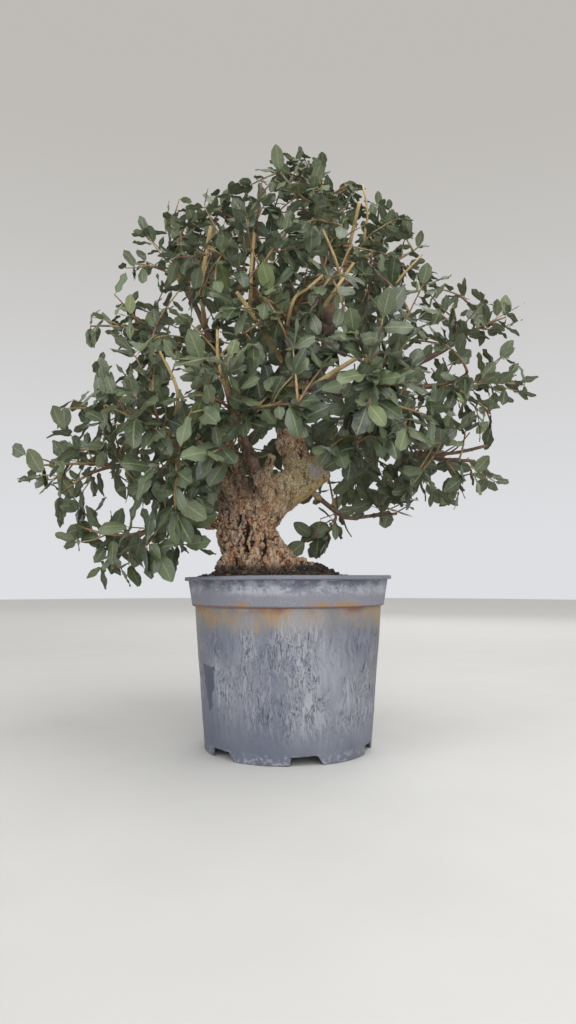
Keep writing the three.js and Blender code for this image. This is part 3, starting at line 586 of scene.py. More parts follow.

# %% [markdown]
# The wood grew as one piece: a trunk that leans and forks, an arm cut short at the right, a leader that
# climbs on from it, limbs and thin twigs. Its lines are the same points that the packed
# model was made from, here in metres, each with its radius at the root and at the end. Repeating them
# keeps every limb and shoot exactly where the imported piece is.

# %% Lines of the wood
limbs = {
    "leader": (
        [(0.016, 0.006, 0.286), (0.006, 0.014, 0.318), (0.001, 0.02, 0.342), (0.014, 0.03, 0.388),
         (0.042, 0.03, 0.424), (0.05, 0.026, 0.462), (0.044, 0.015, 0.52), (0.033, 0.005, 0.57),
         (0.026, 0.0, 0.606)],
        (0.015, 0.0024),
    ),
    "left_low": (
        [(-0.06, -0.004, 0.236), (-0.088, -0.016, 0.231), (-0.122, -0.034, 0.229),
         (-0.152, -0.046, 0.22)],
        (0.005, 0.0022),
    ),
    "left_far": (
        [(-0.056, -0.004, 0.256), (-0.095, -0.02, 0.275), (-0.142, -0.03, 0.288),
         (-0.188, -0.036, 0.292)],
        (0.0065, 0.0022),
    ),
    "left_mid": (
        [(-0.052, 0.004, 0.262), (-0.078, 0.01, 0.306), (-0.118, 0.008, 0.338),
         (-0.168, -0.002, 0.352)],
        (0.0065, 0.0022),
    ),
    "left_up": (
        [(-0.044, 0.002, 0.262), (-0.066, -0.004, 0.32), (-0.092, -0.005, 0.378), (-0.122, 0.0, 0.422),
         (-0.15, 0.0, 0.44)],
        (0.0065, 0.0022),
    ),
    "left_high": (
        [(-0.028, 0.006, 0.264), (-0.05, 0.008, 0.33), (-0.072, 0.008, 0.4), (-0.096, 0.006, 0.462),
         (-0.116, 0.004, 0.498)],
        (0.007, 0.0022),
    ),
    "front_left": (
        [(-0.052, -0.014, 0.25), (-0.072, -0.056, 0.28), (-0.096, -0.092, 0.296),
         (-0.116, -0.114, 0.308)],
        (0.006, 0.0022),
    ),
    "front_low": (
        [(-0.022, -0.012, 0.258), (-0.032, -0.062, 0.284), (-0.04, -0.106, 0.304),
         (-0.046, -0.138, 0.318)],
        (0.0055, 0.0022),
    ),
    "front_right": (
        [(0.03, -0.002, 0.292), (0.048, -0.046, 0.312), (0.062, -0.092, 0.33), (0.072, -0.126, 0.342)],
        (0.006, 0.0022),
    ),
    "front_crown": (
        [(0.001, 0.02, 0.342), (0.0, -0.035, 0.362), (-0.004, -0.08, 0.388), (0.002, -0.108, 0.416),
         (0.012, -0.122, 0.44), (0.03, -0.13, 0.456)],
        (0.0055, 0.0019),
    ),
    "front_high": (
        [(0.049, 0.026, 0.452), (0.025, -0.03, 0.448), (-0.006, -0.076, 0.438),
         (-0.033, -0.104, 0.448), (-0.033, -0.114, 0.482), (-0.03, -0.12, 0.516)],
        (0.005, 0.0019),
    ),
    "front_top": (
        [(0.046, 0.018, 0.5), (0.042, -0.032, 0.506), (0.034, -0.074, 0.516)],
        (0.0042, 0.0021),
    ),
    "right_low": (
        [(0.03, 0.006, 0.292), (0.054, 0.022, 0.312), (0.078, 0.028, 0.332), (0.104, 0.03, 0.336),
         (0.124, 0.03, 0.317), (0.158, 0.03, 0.312), (0.186, 0.03, 0.306)],
        (0.0046, 0.0022),
    ),
    "right_mid": (
        [(0.016, 0.03, 0.388), (0.056, 0.014, 0.4), (0.101, 0.002, 0.394), (0.145, 0.004, 0.385),
         (0.19, 0.01, 0.391)],
        (0.006, 0.0023),
    ),
    "right_up": (
        [(0.101, 0.002, 0.394), (0.14, 0.012, 0.412), (0.172, 0.014, 0.428), (0.196, 0.014, 0.444)],
        (0.0044, 0.0022),
    ),
    "right_high": (
        [(0.046, 0.02, 0.496), (0.078, 0.012, 0.512), (0.108, 0.008, 0.524)],
        (0.0042, 0.0021),
    ),
    "back_left": (
        [(-0.046, 0.016, 0.252), (-0.066, 0.058, 0.296), (-0.088, 0.098, 0.334), (-0.104, 0.126, 0.36)],
        (0.007, 0.0023),
    ),
    "back_mid": (
        [(0.001, 0.02, 0.342), (-0.006, 0.066, 0.366), (-0.014, 0.112, 0.384), (-0.016, 0.146, 0.394)],
        (0.0065, 0.0023),
    ),
    "back_right": (
        [(0.018, 0.03, 0.392), (0.054, 0.07, 0.396), (0.088, 0.104, 0.396), (0.108, 0.128, 0.396)],
        (0.0065, 0.0023),
    ),
    "back_top": (
        [(0.05, 0.026, 0.47), (0.034, 0.064, 0.496), (0.02, 0.098, 0.512)],
        (0.0046, 0.0021),
    ),
    "low_twig": (
        [(0.02, 0.014, 0.276), (0.036, 0.034, 0.264), (0.052, 0.04, 0.252), (0.068, 0.044, 0.243),
         (0.098, 0.05, 0.246), (0.126, 0.058, 0.249)],
        (0.0032, 0.0017),
    ),
}
pruned_stubs = [
    ([(-0.027, -0.008, 0.262), (-0.024, -0.009, 0.284), (-0.017, -0.01, 0.306)], (0.008, 0.0036)),
    ([(0.033, 0.001, 0.292), (0.0345, 0.0, 0.306), (0.033, -0.001, 0.317)], (0.0075, 0.0036)),
    ([(-0.003, -0.076, 0.386), (-0.02, -0.114, 0.402), (-0.046, -0.148, 0.432)], (0.0024, 0.0019)),
    ([(-0.092, 0.006, 0.452), (-0.092, -0.03, 0.486), (-0.08, -0.058, 0.538)], (0.0026, 0.0019)),
    ([(0.062, 0.016, 0.508), (0.066, -0.03, 0.53), (0.074, -0.062, 0.562)], (0.0024, 0.0018)),
    ([(0.154, 0.03, 0.313), (0.192, 0.036, 0.317), (0.231, 0.036, 0.326)], (0.0022, 0.0017)),
    ([(0.146, 0.03, 0.314), (0.176, 0.016, 0.306), (0.206, 0.01, 0.303)], (0.002, 0.0016)),
]
surface_roots = [
    ([(-0.02, -0.004, 0.206), (0.002, -0.008, 0.19), (0.024, -0.012, 0.181),
      (0.044, -0.015, 0.17)], (0.014, 0.007)),
    ([(-0.048, -0.008, 0.204), (-0.063, -0.014, 0.19), (-0.076, -0.02, 0.171)], (0.014, 0.007)),
    ([(-0.036, -0.014, 0.204), (-0.038, -0.034, 0.188), (-0.04, -0.052, 0.17)], (0.014, 0.007)),
    ([(-0.012, -0.014, 0.198), (0.002, -0.03, 0.183), (0.012, -0.042, 0.17)], (0.011, 0.006)),
    ([(-0.03, 0.014, 0.204), (-0.028, 0.036, 0.186), (-0.025, 0.054, 0.17)], (0.014, 0.007)),
    ([(-0.056, 0.012, 0.202), (-0.07, 0.024, 0.186), (-0.08, 0.034, 0.171)], (0.012, 0.006)),
    ([(-0.014, 0.012, 0.2), (0.008, 0.026, 0.184), (0.024, 0.038, 0.17)], (0.011, 0.006)),
]
trunk_rings = [
    ((-0.03, 0.0, 0.15), (0.024, 0.024)),
    ((-0.027, 0.0, 0.172), (0.045, 0.042)),
    ((-0.031, 0.0, 0.186), (0.041, 0.038)),
    ((-0.038, 0.0, 0.204), (0.035, 0.034)),
    ((-0.044, 0.0, 0.224), (0.032, 0.031)),
    ((-0.047, 0.001, 0.244), (0.03, 0.029)),
    ((-0.05, 0.002, 0.26), (0.023, 0.025)),
    ((-0.05, 0.003, 0.271), (0.012, 0.014)),
]
arm_rings = [
    ((-0.044, 0.0, 0.224), (0.022, 0.024)),
    ((-0.034, 0.0, 0.244), (0.027, 0.026)),
    ((-0.017, 0.0, 0.26), (0.023, 0.023)),
    ((0.001, 0.001, 0.272), (0.02, 0.02)),
    ((0.018, 0.003, 0.283), (0.0185, 0.018)),
    ((0.031, 0.004, 0.294), (0.017, 0.016)),
    ((0.038, 0.004, 0.302), (0.01, 0.01)),
]
more_pruned = [
    ([(-0.002, -0.060, 0.372), (0.020, -0.136, 0.349), (0.044, -0.142, 0.362), (0.068, -0.140, 0.377)],
     (0.0027, 0.0020)),
    ([(-0.046, -0.138, 0.318), (-0.061, -0.150, 0.361), (-0.063, -0.152, 0.396)], (0.0019, 0.0013)),
    ([(-0.112, -0.110, 0.306), (-0.099, -0.142, 0.340), (-0.114, -0.152, 0.376)], (0.0018, 0.0013)),
    ([(-0.036, -0.108, 0.434), (-0.034, -0.122, 0.471), (-0.031, -0.116, 0.516)], (0.0019, 0.0016)),
    ([(0.052, -0.095, 0.464), (0.044, -0.112, 0.482), (0.033, -0.116, 0.506)], (0.0016, 0.0012)),
    ([(0.034, -0.11, 0.432), (0.047, -0.122, 0.448), (0.062, -0.118, 0.472)], (0.002, 0.0015)),
    ([(-0.002, -0.126, 0.399), (0.005, -0.138, 0.428), (0.02, -0.14, 0.44), (0.035, -0.134, 0.456)], (0.0019, 0.0014)),
    ([(0.079, -0.05, 0.527), (0.082, -0.062, 0.55), (0.078, -0.058, 0.582)], (0.0014, 0.001)),
    ([(0.112, -0.05, 0.481), (0.125, -0.056, 0.494), (0.14, -0.05, 0.511)], (0.0014, 0.0009)),
]
swellings = [
    ((0.024, 0.002, 0.291), 0.0125),
    ((0.040, -0.003, 0.283), 0.0050),
    ((0.004, -0.009, 0.284), 0.0080),
    ((-0.001, 0.008, 0.319), 0.0125),
    ((0.012, 0.004, 0.305), 0.0100),
    ((-0.020, -0.006, 0.268), 0.0120),
]

# %% Rods along a line
def vectors(points):
    """Rows of numbers as points."""
    return [Vector(point) for point in points]


def smooth_line(points, steps=6):
    """A smooth line through given points, with a few points for each span."""
    ends = [2 * points[0] - points[1], *points, 2 * points[-1] - points[-2]]
    line = []
    for before, start, stop, after in zip(ends, ends[1:], ends[2:], ends[3:]):
        leave = start + (stop - before) / 6
        arrive = stop - (after - start) / 6
        line += geometry.interpolate_bezier(start, leave, arrive, stop, steps + 1)[:-1]
    return line + [points[-1]]


def point_on(line, share):
    """The point at a share of a line, and the heading there."""
    place = share * (len(line) - 1)
    step = min(int(place), len(line) - 2)
    ahead = line[step + 1] - line[step]
    return line[step] + ahead * (place - step), ahead.normalized()


def grow_rod(bm, line, radii, sides, finish=0, cut_finish=None):
    """A closed rod: a disc at the start of a line is drawn out ring by ring. Gives back its corners."""
    heading = (line[1] - line[0]).normalized()
    facing = heading.to_track_quat("Z", "Y").to_matrix().to_4x4()
    placing = Matrix.Translation(line[0]) @ facing
    grown = bmesh.ops.create_circle(bm, cap_ends=True, segments=sides, radius=radii[0], matrix=placing)["verts"]
    end = grown[0].link_faces[0]
    for i in range(1, len(line)):
        drawn = bmesh.ops.extrude_face_region(bm, geom=[end, *end.edges, *end.verts])["geom"]
        ring = [part for part in drawn if isinstance(part, bmesh.types.BMVert)]
        end = [part for part in drawn if isinstance(part, bmesh.types.BMFace)][0]
        following = (line[min(i + 1, len(line) - 1)] - line[i - 1]).normalized()
        turn = heading.rotation_difference(following).to_matrix().to_4x4()
        width = Matrix.Diagonal((*[radii[i] / radii[i - 1]] * 3, 1))
        step = Matrix.Translation(line[i]) @ turn @ width @ Matrix.Translation(-line[i - 1])
        bmesh.ops.transform(bm, matrix=step, verts=ring)
        heading = following
        grown += ring
    walls = list({face for corner in grown for face in corner.link_faces})
    for face in walls:
        face.material_index = finish
    end.material_index = finish if cut_finish is None else cut_finish
    bmesh.ops.recalc_face_normals(bm, faces=walls)
    return grown


# %% [markdown]
# The trunk is the thickest wood and has the roughest bark, so it is made apart from the limbs. Its rods
# overlap in a tangle, so they are melted together: a remesh fills them with cells one millimetre wide
# and keeps the outer skin. That skin is even and dense enough to push real cracks into it.

# %% Trunk, arm and roots
trunk_grid = 0.00105


def ringed_rod(bm, rings):
    """A rod whose radius follows its rings, taken as the mean of their width and depth."""
    line = smooth_line(vectors([at for at, half in rings]))
    radii = [size.x for size in smooth_line([Vector(((a + b) / 2, 0, 0)) for at, (a, b) in rings])]
    grow_rod(bm, line, radii, 24)


def tapered(line, radii, flare=0.0, flare_length=0.007):
    """Radii that fall evenly along a line, with a flared root and slight nodes where leaves once sat."""
    run = 0.0
    sizes = []
    for i, spot in enumerate(line):
        run += (spot - line[i - 1]).length if i else 0.0
        even = radii[0] + (radii[1] - radii[0]) * i / (len(line) - 1)
        node = 0.06 * math.sin(run / 0.0031) * math.sin(run / 0.0052 + 1)
        sizes.append(even * (1 + node + flare * math.exp(-run / flare_length)))
    return sizes


rods = bmesh.new()
ringed_rod(rods, trunk_rings)
ringed_rod(rods, arm_rings)
for points, radii in surface_roots:
    line = smooth_line(vectors(points))
    grow_rod(rods, line, tapered(line, radii), 16)
for points, radii in pruned_stubs[:2]:
    line = smooth_line(vectors(points))
    grow_rod(rods, line, tapered(line, radii, 0.4), 14)
leader = smooth_line(vectors(limbs["leader"][0]))
leader_trunk = leader[:22]
grow_rod(rods, leader_trunk, tapered(leader, limbs["leader"][1], 0.25, 0.02)[:22], 20)
for name, (points, radii) in limbs.items():
    line = smooth_line(vectors(points))[:7]
    if name != "leader" and line[0].z < 0.3:
        grow_rod(rods, line, tapered(line, (radii[0] * 1.25, radii[0] * 0.85)), 12)
for spot, radius in swellings:
    bmesh.ops.create_icosphere(rods, subdivisions=3, radius=radius, matrix=Matrix.Translation(spot))


def melted(bm, grid, rounds):
    """One closed skin round overlapping rods, smoothed a few times."""
    rough = link_object("rough_rods", mesh_of(bm, "rough_rods"))
    skin = rough.modifiers.new("skin", "REMESH")
    skin.mode = "VOXEL"
    skin.voxel_size = grid
    relax = rough.modifiers.new("relax", "SMOOTH")
    relax.iterations = rounds
    mesh = bpy.data.meshes.new_from_object(rough.evaluated_get(bpy.context.evaluated_depsgraph_get()))
    bpy.data.objects.remove(rough)
    return mesh


trunk_mesh = melted(rods, trunk_grid, 6)
print("corners on the trunk's skin:", len(trunk_mesh.vertices))

# %% [markdown]
# Cork oak bark breaks into plates with deep cracks between them. Voronoi cells drawn out along the trunk
# give just that: the cracks are where two cells are equally near. The arm at the right is younger and has
# only small pits. How high the bark stands is also kept on every corner, so the colour can follow it.

# %% Bark relief
plate_size = Vector((0.0090, 0.0090, 0.0260))
chip_size = Vector((0.0042, 0.0042, 0.0085))
plate_depth = 0.0024
chip_depth = 0.0011
cleft_depth = 0.0032
clefts = [vectors(ends) for ends in (
    [(-0.040, -0.050, 0.228), (-0.045, -0.050, 0.211), (-0.041, -0.050, 0.201)],
    [(-0.024, -0.050, 0.224), (-0.021, -0.050, 0.210), (-0.025, -0.050, 0.199)],
    [(-0.060, -0.042, 0.206), (-0.052, -0.046, 0.202), (-0.048, -0.048, 0.194)],
    [(-0.010, -0.046, 0.238), (-0.014, -0.048, 0.226)],
    [(-0.058, -0.040, 0.252), (-0.050, -0.044, 0.240), (-0.052, -0.044, 0.230)],
)]
cut_tips = vectors([(-0.017, -0.010, 0.306), (0.033, -0.001, 0.317)])


def rise(value, low, high):
    """0 below low, 1 above high, with a smooth slope between."""
    return 1 - smooth_fall(value, low, high)


def cells(spot, size, crack):
    """How far inside its cell a place is: 0 on a crack, 1 on the plate."""
    near, second, _, _ = noise.voronoi((spot.x / size.x, spot.y / size.y, spot.z / size.z))[0]
    return rise(second - near, 0.01, crack)


def youth(spot):
    """1 on the smoother arm, 0 on the corky trunk, with a ragged border."""
    ragged = spot + noise.noise_vector(spot * 90) * 0.012 + noise.noise_vector(spot * 300) * 0.004
    return rise(ragged.x, -0.034, 0.010) * smooth_fall(ragged.z, 0.298, 0.312) * rise(ragged.z, 0.226, 0.272)


def cleft_at(spot):
    """1 in the middle of a deep split in the foot of the trunk, 0 beside it."""
    if spot.y > -0.010 or spot.z > 0.270:
        return 0.0
    spot = spot + noise.noise_vector(spot * 260) * 0.0016
    deepest = 0.0
    for line in clefts:
        for start, stop in zip(line, line[1:]):
            closest, share = geometry.intersect_point_line(spot, start, stop)
            share = max(0.0, min(1.0, share))
            away = spot - start.lerp(stop, share)
            deepest = max(deepest, smooth_fall(math.hypot(away.x, away.z), 0.0005, 0.0027))
    return deepest


def bark_at(spot):
    """How far the bark stands out in metres, and how high it is between crack and plate."""
    drift = noise.noise_vector(spot * 60) * 0.0085 + noise.noise_vector(spot * 210) * 0.0026
    low = smooth_fall(spot.z, 0.205, 0.262)
    plate = cells(spot + drift, plate_size, 0.13 + 0.11 * low)
    chip = cells(spot + drift * 0.6, chip_size, 0.34)
    lump = noise.fractal(spot * 60, 1.0, 2.0, 3)
    fine = noise.fractal(spot * 480, 0.8, 2.0, 3)
    young = youth(spot)
    corky = (plate - 1) * plate_depth * (0.8 + 0.7 * low) + (chip - 1) * chip_depth + fine * 0.0006 + lump * 0.0022
    smooth = (chip - 1) * 0.0005 + fine * 0.00035 + lump * 0.0011
    height = (0.60 * plate + 0.40 * chip) * (1 - young) + (0.55 + 0.45 * chip) * young
    split = cleft_at(spot)
    out = corky * (1 - young) + smooth * young + 0.0009 - cleft_depth * split
    return out, (height + 0.18 * fine) * (1 - split)


bark_layer = trunk_mesh.attributes.new("bark", "FLOAT_COLOR", "POINT")
moved = []
for corner in trunk_mesh.vertices:
    out, height = bark_at(corner.co)
    moved.append(corner.co + corner.normal * out)
    cut = max(smooth_fall((corner.co - tip).length, 0.0035, 0.0060) for tip in cut_tips)
    bark_layer.data[corner.index].color = (max(0.0, min(1.0, height)), youth(corner.co), cut, 1.0)
for corner, spot in zip(trunk_mesh.vertices, moved):
    corner.co = spot

# %% [markdown]
# Cork bark is made of crumbly grains a millimetre or two wide: tan and orange where it is fresh, grey
# where it is old, and nearly black in the cracks. The crests between its furrows carry a painted highlight,
# and its upper left, under the crown, is darkened with painted shade. The arm is olive with small dark specks
# and a grey scar at the shoulder, and golden where it faces down. The foot is stained by wet soil, and cut ends are
# pale.

# %% Cork bark
def grains_of(tree, place, scale):
    """Crumbs of bark: 0 in the joints between them and 1 in their middles."""
    crumbs = add(tree, "TexVoronoi", Vector=place, Scale=scale, Randomness=1.0)
    return ease(tree, crumbs.outputs["Distance"], 0.62, 0.12), crumbs.outputs["Color"]


cork, tree, shader = new_finish("cork_bark", 0.9)
stored = add(tree, "SeparateColor", Color=add(tree, "Attribute", attribute_name="bark").outputs["Color"]).outputs
height, young, cut = list(stored)[:3]
on_object = add(tree, "TexCoord").outputs["Object"]
broad = grain(tree, stretched(tree, 1, 1, 0.7), 42, 4, 0.6)
patchy = grain(tree, stretched(tree, 1, 1, 1), 95, 4, 0.6, 0.4)
flecks = grain(tree, stretched(tree, 1, 1, 0.6), 430, 5, 0.7)
wobble = add(tree, "VectorMath", operation="MULTIPLY_ADD")
feed(tree, add(tree, "TexNoise", Vector=on_object, Scale=500.0, Detail=2.0).outputs["Color"], wobble.inputs[0])
wobble.inputs[1].default_value = (0.0022, 0.0022, 0.0022)
feed(tree, on_object, wobble.inputs[2])
crumb, crumb_tone = grains_of(tree, wobble.outputs[0], 480)
furrows = grain(tree, stretched(tree, 1, 1, 0.38), 165, 5, 0.60, 0.6)
crumb_tone = add(tree, "SeparateColor", Color=crumb_tone).outputs[0]
plate = blend(tree, ease(tree, flecks, 0.32, 0.60), paint(146, 115, 92), paint(232, 202, 168))
orange = calc(tree, "MULTIPLY", ease(tree, patchy, 0.46, 0.62), 0.75)
plate = blend(tree, orange, plate, blend(tree, ease(tree, flecks, 0.34, 0.64), paint(146, 90, 56), paint(236, 172, 112)))
plate = blend(tree, calc(tree, "MULTIPLY", ease(tree, broad, 0.50, 0.38), 0.55), plate, paint(176, 164, 156))
plate = blend(tree, calc(tree, "MULTIPLY", ease(tree, crumb_tone, 0.55, 0.95), 0.35), plate, paint(232, 212, 188))
plate = blend(tree, calc(tree, "MULTIPLY", ease(tree, crumb, 0.46, 0.12), 0.50), plate, paint(72, 49, 38))
plate = blend(tree, calc(tree, "MULTIPLY", ease(tree, furrows, 0.44, 0.36), 0.92), plate, paint(44, 30, 25))
# Painted highlight: the crests between the furrows are lightened.
plate = blend(tree, calc(tree, "MULTIPLY", ease(tree, furrows, 0.53, 0.63), 0.45), plate, paint(244, 222, 192))
flank = blend(tree, ease(tree, patchy, 0.44, 0.62), paint(92, 66, 54), paint(150, 90, 58))
cork_colour = blend(tree, ease(tree, height, 0.16, 0.52), flank, plate)
cork_colour = blend(tree, ease(tree, height, 0.24, 0.05), cork_colour, paint(34, 25, 23))
arm_colour = blend(tree, ease(tree, flecks, 0.32, 0.60), paint(144, 130, 94), paint(222, 208, 168))
arm_colour = blend(tree, calc(tree, "MULTIPLY", ease(tree, patchy, 0.46, 0.64), 0.5), arm_colour, paint(196, 164, 118))
arm_colour = blend(tree, calc(tree, "MULTIPLY", ease(tree, crumb, 0.40, 0.10), 0.45), arm_colour, paint(88, 74, 52))
arm_colour = blend(tree, calc(tree, "MULTIPLY", ease(tree, furrows, 0.46, 0.36), 0.75), arm_colour, paint(72, 60, 42))
along_x, _, along_z = add(tree, "SeparateXYZ", Vector=on_object).outputs
# Painted shade: the upper left of the trunk, under the crown, is darkened.
painted_crown_shade = calc(tree, "MULTIPLY", ease(tree, along_x, -0.012, -0.046), ease(tree, along_z, 0.236, 0.268))
cork_colour = blend(tree, calc(tree, "MULTIPLY", painted_crown_shade, 0.50), cork_colour, paint(74, 58, 48))
downward = add(tree, "SeparateXYZ", Vector=add(tree, "NewGeometry").outputs["Normal"]).outputs["Z"]
gold = calc(tree, "MULTIPLY", ease(tree, downward, -0.25, -0.75), 0.5)
arm_colour = blend(tree, gold, arm_colour, paint(206, 170, 100))
scar_spot = add(tree, "VectorMath", operation="DISTANCE")
feed(tree, on_object, scar_spot.inputs[0])
scar_spot.inputs[1].default_value = (0.030, -0.012, 0.290)
scar = calc(tree, "MULTIPLY", ease(tree, scar_spot.outputs["Value"], 0.0105, 0.0055), 0.75)
arm_colour = blend(tree, scar, arm_colour, blend(tree, flecks, paint(140, 136, 140), paint(190, 186, 190)))
bark_colour = blend(tree, young, cork_colour, arm_colour)
bark_colour = blend(tree, cut, bark_colour, paint(206, 188, 150))
above_soil = add(tree, "SeparateXYZ", Vector=on_object).outputs["Z"]
soiled = ease(tree, calc(tree, "MULTIPLY_ADD", flecks, -0.014, above_soil), 0.186, 0.176)
bark_colour = blend(tree, calc(tree, "MULTIPLY", soiled, 0.85), bark_colour, paint(52, 44, 42))
feed(tree, bark_colour, shader.inputs["Base Color"])
raise_surface(tree, shader, calc(tree, "MULTIPLY_ADD", crumb, 0.5, calc(tree, "ADD", flecks, furrows)), 0.0013, 0.9)
trunk_mesh.materials.append(cork)
add_piece("trunk", trunk_mesh, "bark", "wood")
print("triangles on the trunk:", sum(len(p.vertices) - 2 for p in trunk_mesh.polygons))

# %% [markdown]
# Leafy shoots leave the limbs at listed places. Each is a bow: it starts along the limb and bends
# to its tip. Its inner part is bare and brown and belongs to the limbs, and its outer ten centimetres
# carry leaves and belong to the spray. The rows below say which limb, how far along it, and which tips.

# %% Leafy shoots
sprays = [
    ("left_low", 0.45, [(-0.13, -0.112, 0.206), (-0.088, -0.092, 0.2)]),
    ("left_low", 0.84, [(-0.174, -0.062, 0.184)]),
    ("left_low", 1, [(-0.212, -0.05, 0.228), (-0.18, -0.016, 0.206)]),
    ("left_far", 1, [(-0.252, -0.039, 0.291)]),
    ("left_far", 0.86, [(-0.226, -0.066, 0.258)]),
    ("left_far", 0.66, [(-0.176, -0.096, 0.312)]),
    ("left_mid", 1, [(-0.244, -0.01, 0.357)]),
    ("left_mid", 0.84, [(-0.198, -0.034, 0.396)]),
    ("left_mid", 0.72, [(-0.186, 0.072, 0.318)]),
    ("left_up", 1, [(-0.218, 0.0, 0.452), (-0.172, 0.058, 0.462)]),
    ("left_up", 0.72, [(-0.158, -0.076, 0.436), (-0.128, -0.096, 0.398)]),
    ("left_high", 1, [(-0.172, 0.0, 0.524)]),
    ("left_high", 0.94, [(-0.136, 0.008, 0.584), (-0.104, -0.04, 0.56)]),
    ("left_high", 0.84, [(-0.066, -0.014, 0.588)]),
    ("left_high", 0.9, [(-0.078, 0.084, 0.556)]),
    ("front_left", 1, [(-0.164, -0.142, 0.33)]),
    ("front_left", 0.84, [(-0.118, -0.152, 0.372)]),
    ("front_left", 0.6, [(-0.096, -0.156, 0.262)]),
    ("front_low", 1, [(-0.084, -0.198, 0.33), (-0.044, -0.208, 0.366)]),
    ("front_low", 0.74, [(-0.058, -0.166, 0.262)]),
    ("front_low", 0.86, [(0.008, -0.196, 0.318)]),
    ("front_right", 1, [(0.07, -0.196, 0.336), (0.046, -0.212, 0.382)]),
    ("front_right", 0.78, [(0.132, -0.126, 0.322)]),
    ("front_right", 0.56, [(0.064, -0.128, 0.284)]),
    ("front_right", 0.88, [(0.112, -0.128, 0.42)]),
    ("front_crown", 0.5, [(-0.034, -0.182, 0.418), (-0.08, -0.128, 0.362)]),
    ("front_crown", 0.62, [(0.052, -0.176, 0.438)]),
    ("front_high", 0.5, [(0.004, -0.164, 0.486)]),
    ("front_high", 0.62, [(-0.092, -0.134, 0.486), (-0.07, -0.094, 0.52)]),
    ("front_top", 1, [(0.022, -0.124, 0.552), (0.064, -0.126, 0.5)]),
    ("front_top", 0.7, [(0.11, -0.084, 0.492)]),
    ("leader", 1, [(0.004, 0.0, 0.632), (0.046, 0.022, 0.626)]),
    ("leader", 0.88, [(0.078, -0.03, 0.604), (-0.014, -0.044, 0.606)]),
    ("right_high", 1, [(0.146, 0.01, 0.546), (0.132, 0.066, 0.506)]),
    ("right_high", 0.7, [(0.094, 0.022, 0.596)]),
    ("right_up", 1, [(0.244, 0.01, 0.466), (0.198, 0.02, 0.496)]),
    ("right_up", 0.6, [(0.168, -0.062, 0.452)]),
    ("right_mid", 1, [(0.262, 0.008, 0.388), (0.252, 0.03, 0.404)]),
    ("right_mid", 0.84, [(0.214, -0.026, 0.348)]),
    ("right_mid", 0.66, [(0.176, -0.084, 0.376)]),
    ("right_mid", 0.78, [(0.196, 0.084, 0.396)]),
    ("right_low", 1, [(0.236, 0.03, 0.284)]),
    ("right_low", 0.86, [(0.18, -0.018, 0.268)]),
    ("right_low", 0.6, [(0.134, -0.072, 0.282)]),
    ("right_low", 0.74, [(0.172, 0.096, 0.316)]),
    ("low_twig", 0.8, [(0.124, 0.052, 0.298)]),
    ("low_twig", 0.36, [(0.036, 0.066, 0.216)]),
    ("back_left", 1, [(-0.152, 0.176, 0.382), (-0.112, 0.178, 0.43)]),
    ("back_left", 0.76, [(-0.168, 0.124, 0.304)]),
    ("back_left", 0.6, [(-0.1, 0.16, 0.27), (-0.046, 0.164, 0.296)]),
    ("back_mid", 1, [(-0.046, 0.206, 0.402), (0.022, 0.206, 0.372)]),
    ("back_mid", 0.86, [(-0.024, 0.184, 0.47)]),
    ("back_right", 1, [(0.15, 0.178, 0.392), (0.098, 0.19, 0.438)]),
    ("back_right", 0.78, [(0.104, 0.18, 0.32)]),
    ("back_right", 0.56, [(0.07, 0.124, 0.276)]),
    ("back_top", 1, [(-0.016, 0.142, 0.556), (0.052, 0.158, 0.524)]),
    ("back_top", 0.6, [(0.074, 0.084, 0.582)]),
]
spray_reach = 0.096
least_foot = 0.14
shoot_bend = 0.42
fork_place = 0.16


def bow(start, heading, tip, steps):
    """A line that leaves start along a heading and bends to a tip."""
    control = start + heading * (shoot_bend * (tip - start).length)
    return geometry.interpolate_bezier(start, start.lerp(control, 2 / 3), tip.lerp(control, 2 / 3), tip, steps)


def part_of(line, start, stop):
    """The stretch of a line between two shares of it."""
    count = len(line) - 1
    inside = [line[i] for i in range(len(line)) if start < i / count < stop]
    return [point_on(line, start)[0], *inside, point_on(line, stop)[0]]


def line_length(line):
    """How long a line is."""
    return sum((b - a).length for a, b in zip(line, line[1:]))


limb_lines = {name: smooth_line(vectors(points)) for name, (points, radii) in limbs.items()}
feet = []
shoots = []
counts = {}
for limb, place, tips in sprays:
    start, heading = point_on(limb_lines[limb], place)
    main = bow(start, heading, Vector(tips[0]), 33)
    joint = max(0.0 if place == 1 else least_foot, 1 - spray_reach / line_length(main))
    if joint > 0:
        feet.append(part_of(main, 0.0, joint))
    leafy = part_of(main, joint, 1.0)
    fork, fork_heading = point_on(leafy, fork_place)
    forks = [bow(fork, fork_heading, Vector(tip), 17) for tip in tips[1:]]
    counts[limb] = counts.get(limb, 0) + 1
    shoots.append((f"spray_{limb}_{counts[limb]}", [leafy[::2] + [leafy[-1]], *forks]))
print("sprays:", len(shoots), "with", sum(len(lines) for name, lines in shoots), "shoots")

# %% [markdown]
# Limbs and bare twigs are rods with a flared root, slight nodes and a wandering surface. Pruning has left
# many short ends: their bark is yellow, and the cut face is pale. They are a piece of their own, because
# their bark is younger and has another colour.

# %% Limbs and pruned ends
def roughen(corners, depth, scale):
    """Moves corners a little in every direction, so that no rod looks turned on a lathe."""
    for corner in corners:
        corner.co += noise.noise_vector(corner.co * scale) * depth


limb_work = bmesh.new()
for name, (points, radii) in limbs.items():
    line = limb_lines[name]
    if name == "leader":
        line = line[18:]
        radii = (0.0103, radii[1])
    rod = grow_rod(limb_work, line, tapered(line, radii, 0.0 if name == "leader" else 0.12), 10)
    roughen(rod, 0.06 * radii[0] + 0.0002, 150)
for line in feet:
    roughen(grow_rod(limb_work, line, tapered(line, (0.0022, 0.0018), 0.5, 0.004), 7), 0.0002, 220)

